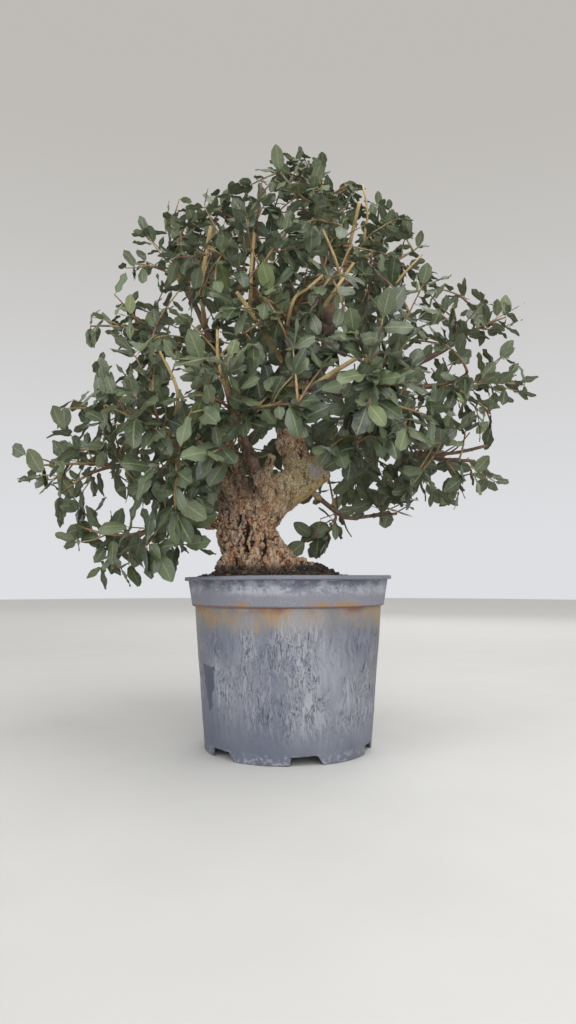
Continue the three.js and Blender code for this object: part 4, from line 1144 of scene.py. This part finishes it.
dice = random.Random(12)
for _ in range(70):
    name = dice.choice(list(limb_lines))
    spot, heading = point_on(limb_lines[name], dice.uniform(0.25, 0.95))
    aside = Vector((dice.uniform(-1, 1), dice.uniform(-1, 1), dice.uniform(-0.4, 1))).normalized()
    reach = dice.uniform(0.018, 0.050)
    middle = spot + (heading * 0.4 + aside).normalized() * reach * 0.5
    tip = middle + (heading * 0.3 + aside + Vector((0, 0, 0.5))).normalized() * reach * 0.5
    twig = smooth_line([spot, middle, tip], 3)
    grow_rod(limb_work, twig, tapered(twig, (0.0012, 0.0007), 0.6, 0.003), 5)

pruned_work = bmesh.new()
for points, radii in pruned_stubs[5:]:
    line = smooth_line(vectors(points))
    roughen(grow_rod(limb_work, line, tapered(line, radii, 0.3), 8, 0, 1), 0.00015, 260)
for points, radii in pruned_stubs[2:5] + more_pruned:
    line = smooth_line(vectors(points))
    roughen(grow_rod(pruned_work, line, tapered(line, radii, 0.3), 8, 0, 1), 0.00015, 260)

# %% Bark of the limbs and of young wood
limb_bark, tree, shader = new_finish("limb_bark", 0.85)
broad = grain(tree, stretched(tree, 1, 1, 1), 26, 3)
fine = grain(tree, stretched(tree, 1, 1, 1), 420, 4, 0.65)
body = blend(tree, ease(tree, broad, 0.38, 0.64), paint(84, 68, 60), paint(128, 106, 86))
body = blend(tree, calc(tree, "MULTIPLY", ease(tree, fine, 0.48, 0.34), 0.7), body, paint(70, 52, 44))
body = blend(tree, calc(tree, "MULTIPLY", ease(tree, fine, 0.58, 0.70), 0.6), body, paint(168, 150, 128))
feed(tree, body, shader.inputs["Base Color"])
raise_surface(tree, shader, fine, 0.0006, 0.7)

young_bark, tree, shader = new_finish("young_bark", 0.7)
broad = grain(tree, stretched(tree, 1, 1, 0.5), 60, 3)
fine = grain(tree, stretched(tree, 1, 1, 0.4), 700, 3, 0.6)
body = blend(tree, ease(tree, broad, 0.36, 0.64), paint(144, 122, 82), paint(188, 168, 120))
body = blend(tree, calc(tree, "MULTIPLY", ease(tree, fine, 0.46, 0.34), 0.5), body, paint(98, 78, 56))
feed(tree, body, shader.inputs["Base Color"])
raise_surface(tree, shader, fine, 0.0004, 0.5)

cut_wood, tree, shader = new_finish("cut_wood", 0.75)
fine = grain(tree, stretched(tree, 1, 1, 1), 800, 3, 0.6)
feed(tree, blend(tree, fine, paint(176, 158, 120), paint(226, 212, 176)), shader.inputs["Base Color"])

add_piece("limbs", mesh_of(limb_work, "limbs", limb_bark, cut_wood), "bark", "wood")
add_piece("pruned_ends", mesh_of(pruned_work, "pruned_ends", young_bark, cut_wood), "bark", "wood")
print("limbs:", len(limbs), "bare feet of shoots:", len(feet))

# %% [markdown]
# A cork oak leaf is a small stiff oval, about six tenths as wide as it is long, with a wavy edge that
# carries a few teeth. Its blade sags at the tip and rolls down at the margins. A leaf could be one flat
# face with a picture on it, but then it has no thickness and no edge, so a grid is shaped into a blade,
# copied and turned over for the pale underside, and sewn together at the margin. A dozen are enough.

# %% Leaf finishes
def leaf_tones(tree):
    """What each leaf carries: how bright it is, with painted shade for leaves deep in the crown, how young and how dry
    it is.
    """
    stored = add(tree, "Attribute", attribute_name="leaf_tone").outputs["Color"]
    return add(tree, "SeparateColor", Color=stored).outputs


leaf_top, tree, shader = new_finish("leaf_top", 0.36)
bright, new, dry = list(leaf_tones(tree))[:3]
along_leaf = add(tree, "SeparateXYZ", Vector=add(tree, "TexCoord").outputs["UV"]).outputs
side = calc(tree, "MULTIPLY", calc(tree, "ABSOLUTE", calc(tree, "SUBTRACT", along_leaf["X"], 0.5)), 2.0)
forward = calc(tree, "MULTIPLY", calc(tree, "MULTIPLY_ADD", side, -0.24, along_leaf["Y"]), 8.0)
from_vein = calc(tree, "PINGPONG", forward, 0.5)
side_vein = calc(tree, "MULTIPLY", ease(tree, from_vein, 0.13, 0.02), ease(tree, side, 1.0, 0.55))
midrib = ease(tree, side, 0.13, 0.03)
veins = calc(tree, "MAXIMUM", calc(tree, "MULTIPLY", side_vein, 0.42), midrib)
mottle = grain(tree, stretched(tree, 1, 1, 1), 160, 4, 0.6)
blade = blend(tree, bright, paint(25, 34, 28), paint(97, 109, 83))
blade = blend(tree, calc(tree, "MULTIPLY", ease(tree, mottle, 0.42, 0.66), 0.45), blade, paint(82, 96, 80))
blade = blend(tree, new, blade, paint(112, 126, 70))
blade = blend(tree, calc(tree, "MULTIPLY", veins, 0.46), blade, paint(146, 154, 116))
brown = blend(tree, mottle, paint(84, 60, 42), paint(152, 116, 80))
spots = calc(tree, "MULTIPLY", ease(tree, mottle, 0.62, 0.72), 0.5)
blade = blend(tree, calc(tree, "MAXIMUM", dry, calc(tree, "MULTIPLY", spots, bright)), blade, brown)
feed(tree, blade, shader.inputs["Base Color"])
raise_surface(tree, shader, calc(tree, "MULTIPLY_ADD", veins, -0.7, mottle), 0.0004, 0.7)

leaf_underside, tree, shader = new_finish("leaf_underside", 0.85)
bright, new, dry = list(leaf_tones(tree))[:3]
felt = grain(tree, stretched(tree, 1, 1, 1), 240, 4, 0.6)
below = blend(tree, felt, paint(80, 91, 70), paint(116, 126, 104))
below = blend(tree, new, below, paint(132, 138, 92))
along_leaf = add(tree, "SeparateXYZ", Vector=add(tree, "TexCoord").outputs["UV"]).outputs
side = calc(tree, "MULTIPLY", calc(tree, "ABSOLUTE", calc(tree, "SUBTRACT", along_leaf["X"], 0.5)), 2.0)
forward = calc(tree, "MULTIPLY", calc(tree, "MULTIPLY_ADD", side, -0.24, along_leaf["Y"]), 8.0)
ribs = calc(tree, "MAXIMUM", ease(tree, side, 0.12, 0.03),
            calc(tree, "MULTIPLY", ease(tree, calc(tree, "PINGPONG", forward, 0.5), 0.12, 0.02), 0.45))
below = blend(tree, calc(tree, "MULTIPLY", ribs, 0.6), below, paint(158, 160, 130))
feed(tree, blend(tree, dry, below, paint(142, 118, 90)), shader.inputs["Base Color"])
raise_surface(tree, shader, calc(tree, "MULTIPLY_ADD", ribs, 0.8, felt), 0.0004, 0.6)

shoot_bark, tree, shader = new_finish("shoot_bark", 0.7)
broad = grain(tree, stretched(tree, 1, 1, 1), 40, 3)
fine = grain(tree, stretched(tree, 1, 1, 1), 700, 3, 0.6)
body = blend(tree, ease(tree, broad, 0.36, 0.64), paint(104, 76, 58), paint(156, 136, 96))
feed(tree, blend(tree, ease(tree, fine, 0.46, 0.34), body, paint(74, 52, 42)), shader.inputs["Base Color"])
raise_surface(tree, shader, fine, 0.0003, 0.5)
print("leaf finishes:", leaf_top.name, leaf_underside.name, shoot_bark.name)

# %% Leaf shapes
leaf_width = 0.58
leaf_thickness = 0.014


def shape_leaf(bm, corners, dice, toothed):
    """Turns the corners of a flat grid into one sheet of a blade that points along +Y."""
    teeth = dice.uniform(0.045, 0.080) if toothed else dice.uniform(0.0, 0.03)
    broadest = dice.uniform(0.78, 1.05)
    keel = dice.uniform(0.00, 0.22)
    roll = dice.uniform(0.05, 0.30)
    droop = dice.uniform(-0.06, 0.36)
    wave = dice.uniform(0.015, 0.075)
    twist = math.radians(dice.uniform(-26, 26))
    phase = dice.uniform(0, 6.28)
    for corner in corners:
        across, even = corner.co.x, (corner.co.y + 1) / 2
        along = 0.35 * even + 0.325 * (1 - math.cos(math.pi * even))
        half = 0.5 * leaf_width * max(0.03, math.sin(math.pi * along ** broadest)) ** 0.58
        row = round(even * 7)
        tooth = teeth * (1 if row % 2 else -1) * (abs(across) > 0.9) * (0 < row < 7)
        x = across * half * (1 + tooth)
        bend = droop * along * along
        z = keel * abs(x) - roll * across * across * half - bend
        z += wave * math.sin(along * 11 + phase + 2 * across) * abs(across)
        turn = twist * along
        corner.co = (x * math.cos(turn), along * (1 - 0.25 * bend) + tooth * 0.12, z + x * math.sin(turn))


def make_leaf(number):
    """One closed leaf, one unit long, with its stalk."""
    dice = random.Random(100 + number)
    bm = bmesh.new()
    bm.loops.layers.uv.verify()
    bm.verts.layers.float_color.new("leaf_tone")
    bmesh.ops.create_grid(bm, x_segments=4, y_segments=7, size=1.0, calc_uvs=True)
    shape_leaf(bm, bm.verts[:], dice, number % 2 == 0)
    margin = [edge for edge in bm.edges if edge.is_boundary]
    rim = {corner for edge in margin for corner in edge.verts}
    for edge in margin:
        edge.smooth = False
    copied = bmesh.ops.duplicate(bm, geom=[*bm.verts, *bm.edges, *bm.faces])["geom"]
    below = [part for part in copied if isinstance(part, bmesh.types.BMFace)]
    bmesh.ops.reverse_faces(bm, faces=below)
    for face in below:
        face.material_index = 1
    inner = {corner for face in below for corner in face.verts if not corner.is_boundary}
    bmesh.ops.translate(bm, verts=list(inner), vec=(0, 0, -leaf_thickness))
    bmesh.ops.remove_doubles(bm, verts=bm.verts[:], dist=0.0005)
    stalk = smooth_line(vectors([(0, -0.15, 0.0), (0, -0.06, 0.012), (0, 0.05, -0.01)]), 1)
    grow_rod(bm, stalk, (0.022, 0.017, 0.012), 3, 2)
    for face in bm.faces:
        face.smooth = True
    return mesh_of(bm, f"leaf_{number}")


leaf_shapes = [make_leaf(number) for number in range(12)]
print("leaf shapes:", len(leaf_shapes), "with", len(leaf_shapes[0].polygons), "faces each")

# %% [markdown]
# Leaves sit round a shoot by the golden angle, so that no leaf hides the one below it, and crowd at its
# tip. Each leans away from the shoot and turns its top to the light, which comes from above and from
# outside the crown. A spray is one leafy main shoot with a few short side shoots, all in one piece.

# %% Sprays of leaves
golden_turn = math.radians(137.5)
crown_middle = Vector((0.0, 0.0, 0.34))


def leaf_length(spot, dice):
    """Low leaves are the largest, and those in the top are small."""
    share = max(0.0, min(1.0, (spot.z - 0.20) / 0.42))
    return (0.0280 - 0.0088 * share) * dice.uniform(0.62, 1.18)


# Height, left and right edge of the crown as it is seen from the front, in metres.
crown_rows = [
    (0.162, -0.210, -0.159),
    (0.181, -0.215, 0.026),
    (0.198, -0.217, 0.032),
    (0.213, -0.243, 0.047),
    (0.229, -0.248, 0.069),
    (0.239, -0.248, 0.121),
    (0.252, -0.251, 0.195),
    (0.265, -0.256, 0.223),
    (0.279, -0.291, 0.241),
    (0.296, -0.300, 0.215),
    (0.318, -0.299, 0.222),
    (0.333, -0.262, 0.216),
    (0.352, -0.267, 0.232),
    (0.367, -0.250, 0.232),
    (0.378, -0.224, 0.280),
    (0.397, -0.224, 0.280),
    (0.412, -0.222, 0.264),
    (0.425, -0.225, 0.245),
    (0.445, -0.234, 0.261),
    (0.461, -0.221, 0.259),
    (0.482, -0.220, 0.255),
    (0.493, -0.209, 0.204),
    (0.509, -0.189, 0.194),
    (0.525, -0.189, 0.169),
    (0.545, -0.181, 0.152),
    (0.565, -0.177, 0.143),
    (0.580, -0.166, 0.132),
    (0.592, -0.159, 0.121),
    (0.607, -0.103, 0.108),
    (0.621, -0.074, 0.072),
    (0.635, -0.054, 0.047),
    (0.654, -0.029, 0.034),
    (0.666, -0.023, 0.027),
]
edge_room = 0.005


def crown_edges(height):
    """The left and right edge of the crown at a height."""
    for (low, left, right), (high, upper_left, upper_right) in zip(crown_rows, crown_rows[1:]):
        if low <= height <= high:
            share = (height - low) / (high - low)
            return left + (upper_left - left) * share, right + (upper_right - right) * share
    return 1.0, -1.0


def as_seen(spot):
    """Where a place shows on an upright plane through the trunk, looked at from the viewpoint."""
    nearer = camera_spot.y / (camera_spot.y - spot.y)
    return Vector((spot.x * nearer, camera_spot.z + (spot.z - camera_spot.z) * nearer))


bare_sticks = []
for points, radii in pruned_stubs[2:] + more_pruned:
    line = smooth_line(vectors(points), 2)
    bare_sticks += [(start.y, as_seen(start), as_seen(stop)) for start, stop in zip(line, line[1:])]
stick_room = 0.0070


def hides_stick(spot):
    """True just in front of a pruned stick, where the shears have taken the leaves away as well."""
    seen = as_seen(spot)
    for depth, low, high in bare_sticks:
        if spot.y < depth + 0.004 and (seen - low).length < 0.05:
            closest, share = geometry.intersect_point_line(seen, low, high)
            if -0.2 < share < 1.2 and (seen - closest.xy).length < stick_room:
                return True
    return False


def keeps_clear(spot):
    """False in the pot, outside the crown and in front of the bare trunk, where no leaf grows."""
    if spot.z < 0.19 and spot.xy.length < 0.125:
        return False
    if spot.y < cad_low.y - 0.004 or spot.y > cad_high.y + 0.004 or spot.z > cad_high.z - 0.003:
        return False
    seen_x, seen_z = as_seen(spot)
    left, right = crown_edges(seen_z)
    if not left - edge_room < seen_x < right + edge_room:
        return False
    if spot.y < 0.0 and -0.060 < seen_x < -0.010 and seen_z < 0.328:
        return False
    return not (spot.y < 0.01 and -0.078 < seen_x < 0.066 and seen_z < 0.292)


def set_leaf(bm, dice, spot, toward, tone=None, length=None):
    """Stamps one leaf at a spot, pointing along a direction, with its top to the light."""
    length = length or leaf_length(spot, dice)
    tip = spot + toward.normalized() * length
    if not (keeps_clear(tip) and keeps_clear(spot)) or hides_stick(spot.lerp(tip, 0.6)) or hides_stick(tip):
        return 0
    outward = (spot - crown_middle).normalized()
    light = Vector((0, 0, 0.85)) + outward * 0.95 + noise.noise_vector(spot * 31) * 0.25
    light += Vector((dice.gauss(0, 0.36), dice.gauss(0, 0.36), dice.gauss(0, 0.22)))
    along = toward.normalized()
    across = along.cross(light).normalized()
    top = across.cross(along)
    facing = Matrix((across, along, top)).transposed().to_4x4()
    placing = Matrix.Translation(spot + along * 0.12 * length) @ facing @ Matrix.Scale(length, 4)
    first = len(bm.verts)
    bm.from_mesh(dice.choice(leaf_shapes))
    bm.verts.ensure_lookup_table()
    leaf = bm.verts[first:]
    bmesh.ops.transform(bm, matrix=placing, verts=leaf)
    layer = bm.verts.layers.float_color["leaf_tone"]
    young = dice.uniform(0.35, 0.6) if dice.random() < 0.06 else dice.uniform(0.0, 0.2)
    # Painted shade: leaves nearer the middle of the crown are given a darker tone.
    inner = smooth_fall((spot - crown_middle).length, 0.07, 0.19)
    tone = tone or (dice.uniform(0.0, 0.98) ** 1.25 * (1 - 0.6 * inner), young, 0.0, 1.0)
    for corner in leaf:
        corner[layer] = tone
    return 1


def round_shoot(heading, turn):
    """A direction square to a shoot, turned round it."""
    level = heading.cross(Vector((0.21, 0.13, 0.97))).normalized()
    return Matrix.Rotation(turn, 3, heading) @ level


def grow_leaves(bm, dice, line, first, gap, crowd, size=1.0):
    """Sets leaves along a shoot, and a crowd of them at its tip: their number, and how far along they reach."""
    count = 0
    reached = 0.0
    length = line_length(line)
    steps = max(1, int(length * (1 - first) / gap))
    turn = dice.uniform(0, 6.28)
    for i in range(steps + crowd):
        share = min(1.0, first + (1 - first) * i / steps)
        spot, heading = point_on(line, share)
        turn += golden_turn
        lean = math.radians(dice.uniform(48, 78) if i < steps else dice.uniform(18, 62))
        toward = heading * math.cos(lean) + round_shoot(heading, turn) * math.sin(lean)
        toward.z -= dice.uniform(-0.10, 0.28)
        if set_leaf(bm, dice, spot, toward, length=leaf_length(spot, dice) * size):
            count += 1
            reached = share
    return count, reached


def grow_shoot(bm, dice, line, radii, sides, first, gap, crowd, size=1.0):
    """Leaves along a line, and under them the shoot, which ends where its last leaf sits."""
    count, reached = grow_leaves(bm, dice, line, first, gap, crowd, size)
    if reached > 0.2:
        shoot = part_of(line, 0.0, min(1.0, reached + 0.02))
        grow_rod(bm, shoot, tapered(shoot, radii), sides, 2)
    return count


def shortened(line, cut):
    """A line without its last stretch, which the leaves at its tip fill."""
    return part_of(line, 0.0, max(0.3, 1 - cut / line_length(line)))


def grow_spray(bm, dice, lines, fillers):
    """The main shoot, its forks, their side shoots and the shoots that fill gaps, all with leaves."""
    count = 0
    for rank, full in enumerate(lines):
        outer = abs(full[-1].x) > 0.13
        line = shortened(full, 0.003 if outer else 0.012)
        size = (1.02 if full[-1].z < 0.34 else 0.90) if outer else 1.0
        radii = (0.0020, 0.0009) if rank == 0 else (0.0015, 0.0009)
        count += grow_shoot(bm, dice, line, radii, 6, 0.16, 0.0108 if outer else 0.0074, 4, size)
        twigs = (3 if outer else 5) if rank == 0 else 2
        turn = dice.uniform(0, 6.28)
        for i in range(twigs):
            spot, heading = point_on(line, 0.10 + 0.74 * (i + dice.uniform(0.1, 0.9)) / twigs)
            turn += golden_turn
            aside = (heading * 0.75 + round_shoot(heading, turn)).normalized()
            aside.z += 0.15
            reach = dice.uniform(0.018, 0.038)
            twig = smooth_line([spot, spot + aside * reach * 0.5, spot + (aside + heading * 0.3) * reach], 2)
            if keeps_clear(spot) and keeps_clear(twig[-1]):
                count += grow_shoot(bm, dice, twig, (0.0010, 0.0006), 5, 0.30, 0.0082 if outer else 0.0066, 3, size)
    for filler in fillers:
        count += grow_shoot(bm, dice, filler, (0.0014, 0.0007), 5, 0.25, 0.0068, 5)
    return count


# %% [markdown]
# The listed shoots leave holes in the crown that a real tree would have filled, because buds break where
# there is light and room. So spots are drawn by lot between neighbouring shoots, kept where nothing is
# near, and each gets a shoot from the closest spray.

# %% Shoots that fill the crown
filler_gap = 0.021
filler_limit = 118
known_holes = vectors([
    (-0.008, 0.070, 0.300), (-0.020, 0.085, 0.325), (0.006, 0.075, 0.335), (0.038, 0.040, 0.322),
    (0.046, -0.022, 0.338), (0.062, 0.030, 0.318), (-0.040, 0.060, 0.312), (-0.045, -0.012, 0.425),
    (-0.070, 0.012, 0.415), (-0.030, 0.016, 0.470), (-0.020, -0.030, 0.440), (0.098, -0.008, 0.415),
    (0.118, -0.032, 0.400), (0.104, 0.020, 0.440), (0.030, 0.075, 0.420), (0.000, 0.065, 0.440),
    (-0.022, 0.070, 0.405), (0.052, 0.080, 0.450), (0.012, -0.050, 0.372), (0.028, -0.060, 0.392),
    (0.090, 0.010, 0.462), (0.084, -0.028, 0.448), (0.102, -0.018, 0.474), (0.076, 0.030, 0.480),
    (0.030, -0.010, 0.430), (0.024, 0.030, 0.432), (0.070, -0.006, 0.440), (0.100, 0.034, 0.470),
    (0.116, 0.010, 0.456), (0.092, 0.040, 0.500), (-0.024, 0.030, 0.560), (0.020, 0.040, 0.570),
    (-0.060, 0.036, 0.520), (0.060, 0.050, 0.560), (-0.010, 0.010, 0.590), (-0.050, 0.010, 0.560),
    (-0.083, 0.010, 0.463), (-0.074, 0.000, 0.450), (-0.048, 0.004, 0.458), (-0.096, 0.014, 0.448),
    (0.000, 0.110, 0.472), (0.030, 0.124, 0.456), (-0.030, 0.118, 0.482), (0.060, 0.102, 0.470),
    (0.000, 0.130, 0.492), (-0.050, 0.104, 0.466), (0.050, 0.130, 0.484), (0.010, 0.082, 0.462),
    (0.102, 0.000, 0.590), (0.120, 0.010, 0.572), (0.088, 0.020, 0.598), (0.132, 0.000, 0.552),
    (-0.066, 0.000, 0.604), (-0.040, 0.000, 0.616), (0.108, -0.020, 0.560), (0.060, 0.000, 0.606),
    (0.104, 0.010, 0.530), (-0.100, 0.020, 0.520), (0.030, 0.050, 0.520), (-0.030, 0.060, 0.500),
])
shoot_points = [(number, point) for number, (node, lines) in enumerate(shoots)
                for line in lines for point in line[2::3]]
nearest = kdtree.KDTree(len(shoot_points))
for place, (number, point) in enumerate(shoot_points):
    nearest.insert(point, place)
nearest.balance()
filler_spots = []
fillers = {number: [] for number in range(len(shoots))}
dice = random.Random(77)
for _ in range(9000):
    (_, one), (_, other) = dice.choice(shoot_points), dice.choice(shoot_points)
    if not 0.04 < (one - other).length < 0.15 or len(filler_spots) >= filler_limit:
        continue
    spot = one.lerp(other, dice.uniform(0.3, 0.7)) + Vector((0, 0, dice.uniform(-0.004, 0.010)))
    near, place, distance = nearest.find(spot)
    if distance < filler_gap * (1.7 if abs(spot.x) > 0.12 else 1) or not keeps_clear(spot):
        continue
    if any((spot - taken).length < filler_gap * 1.2 for taken in filler_spots):
        continue
    filler_spots.append(spot)
    outward = (near - crown_middle).normalized() * 0.3 + Vector((0, 0, 0.2))
    number = shoot_points[place][0]
    fillers[number].append(bow(near, ((spot - near).normalized() + outward).normalized(), spot, 7))
for spot in known_holes:
    near, place, distance = nearest.find(spot)
    number = shoot_points[place][0]
    fillers[number].append(bow(near, (spot - near).normalized() + Vector((0, 0, 0.3)), spot, 7))
print("shoots that fill gaps:", len(filler_spots) + len(known_holes))

# %% Grow every spray
leaf_count = 0
for number, (node, lines) in enumerate(shoots):
    dice = random.Random(1000 + number)
    bm = bmesh.new()
    bm.loops.layers.uv.verify()
    bm.verts.layers.float_color.new("leaf_tone")
    leaf_count += grow_spray(bm, dice, lines, fillers[number])
    mesh = mesh_of(bm, node, leaf_top, leaf_underside, shoot_bark)
    add_piece(node.replace("spray", "leaves"), mesh, "leaf", node)
print("leaves:", leaf_count)

# %% [markdown]
# A few dead leaves hang curled in the crown, and there is litter on the mix: brown leaf bits and pale
# rootlets round the foot of the trunk. They are small, but they keep the tree from looking too clean.

# %% Dead leaves and litter
dead = bmesh.new()
dead.loops.layers.uv.verify()
dead.verts.layers.float_color.new("leaf_tone")
dice = random.Random(5)
dry_tone = (0.6, 0.0, 1.0, 1.0)
for spot in vectors([(-0.050, -0.100, 0.481), (-0.059, -0.090, 0.498), (-0.040, -0.100, 0.460),
                     (0.020, -0.010, 0.628), (0.014, 0.012, 0.622), (0.036, 0.020, 0.240), (0.100, 0.090, 0.400)]):
    near, place, distance = nearest.find(spot)
    stalk = bow(near, (spot - near).normalized(), spot, 4)
    grow_rod(dead, stalk, [0.0006] * 4, 4, 2)
    for _ in range(2):
        set_leaf(dead, dice, spot, Vector((dice.uniform(-1, 1), dice.uniform(-1, 1), -0.7)), dry_tone, 0.020)
for _ in range(36):
    turn, reach = dice.uniform(0, math.tau), dice.uniform(0.048, 0.088)
    x, y = reach * math.cos(turn), reach * math.sin(turn)
    spot = Vector((x, y, mix_height(x, y) + 0.0012))
    first = len(dead.verts)
    dead.from_mesh(dice.choice(leaf_shapes))
    dead.verts.ensure_lookup_table()
    bit = dead.verts[first:]
    tumble = Matrix.Rotation(dice.uniform(0, math.tau), 4, "Z") @ Matrix.Rotation(dice.gauss(0, 0.25), 4, "X")
    squeeze = Matrix.Scale(dice.uniform(0.007, 0.015), 4)
    bmesh.ops.transform(dead, matrix=Matrix.Translation(spot) @ tumble @ squeeze, verts=bit)
    layer = dead.verts.layers.float_color["leaf_tone"]
    for corner in bit:
        corner[layer] = dry_tone
for _ in range(44):
    turn, reach = dice.uniform(0, math.tau), dice.uniform(0.020, 0.060)
    x, y = -0.028 + reach * math.cos(turn), reach * math.sin(turn)
    foot = Vector((x, y, mix_height(x, y) - 0.001))
    lean = Vector((dice.uniform(-1, 1), dice.uniform(-1, 1), dice.uniform(0.1, 1.2))).normalized()
    reach = dice.uniform(0.006, 0.015)
    rootlet = smooth_line([foot, foot + lean * reach * 0.6, foot + lean * reach + Vector((0.002, 0, -0.003))], 2)
    grow_rod(dead, rootlet, tapered(rootlet, (0.00045, 0.0002)), 4, 2)
mesh = mesh_of(dead, "dead_leaves", leaf_top, leaf_underside, shoot_bark)
add_piece("dead_leaves", mesh, "leaf")
print("faces of dead leaves and litter:", len(mesh.polygons))
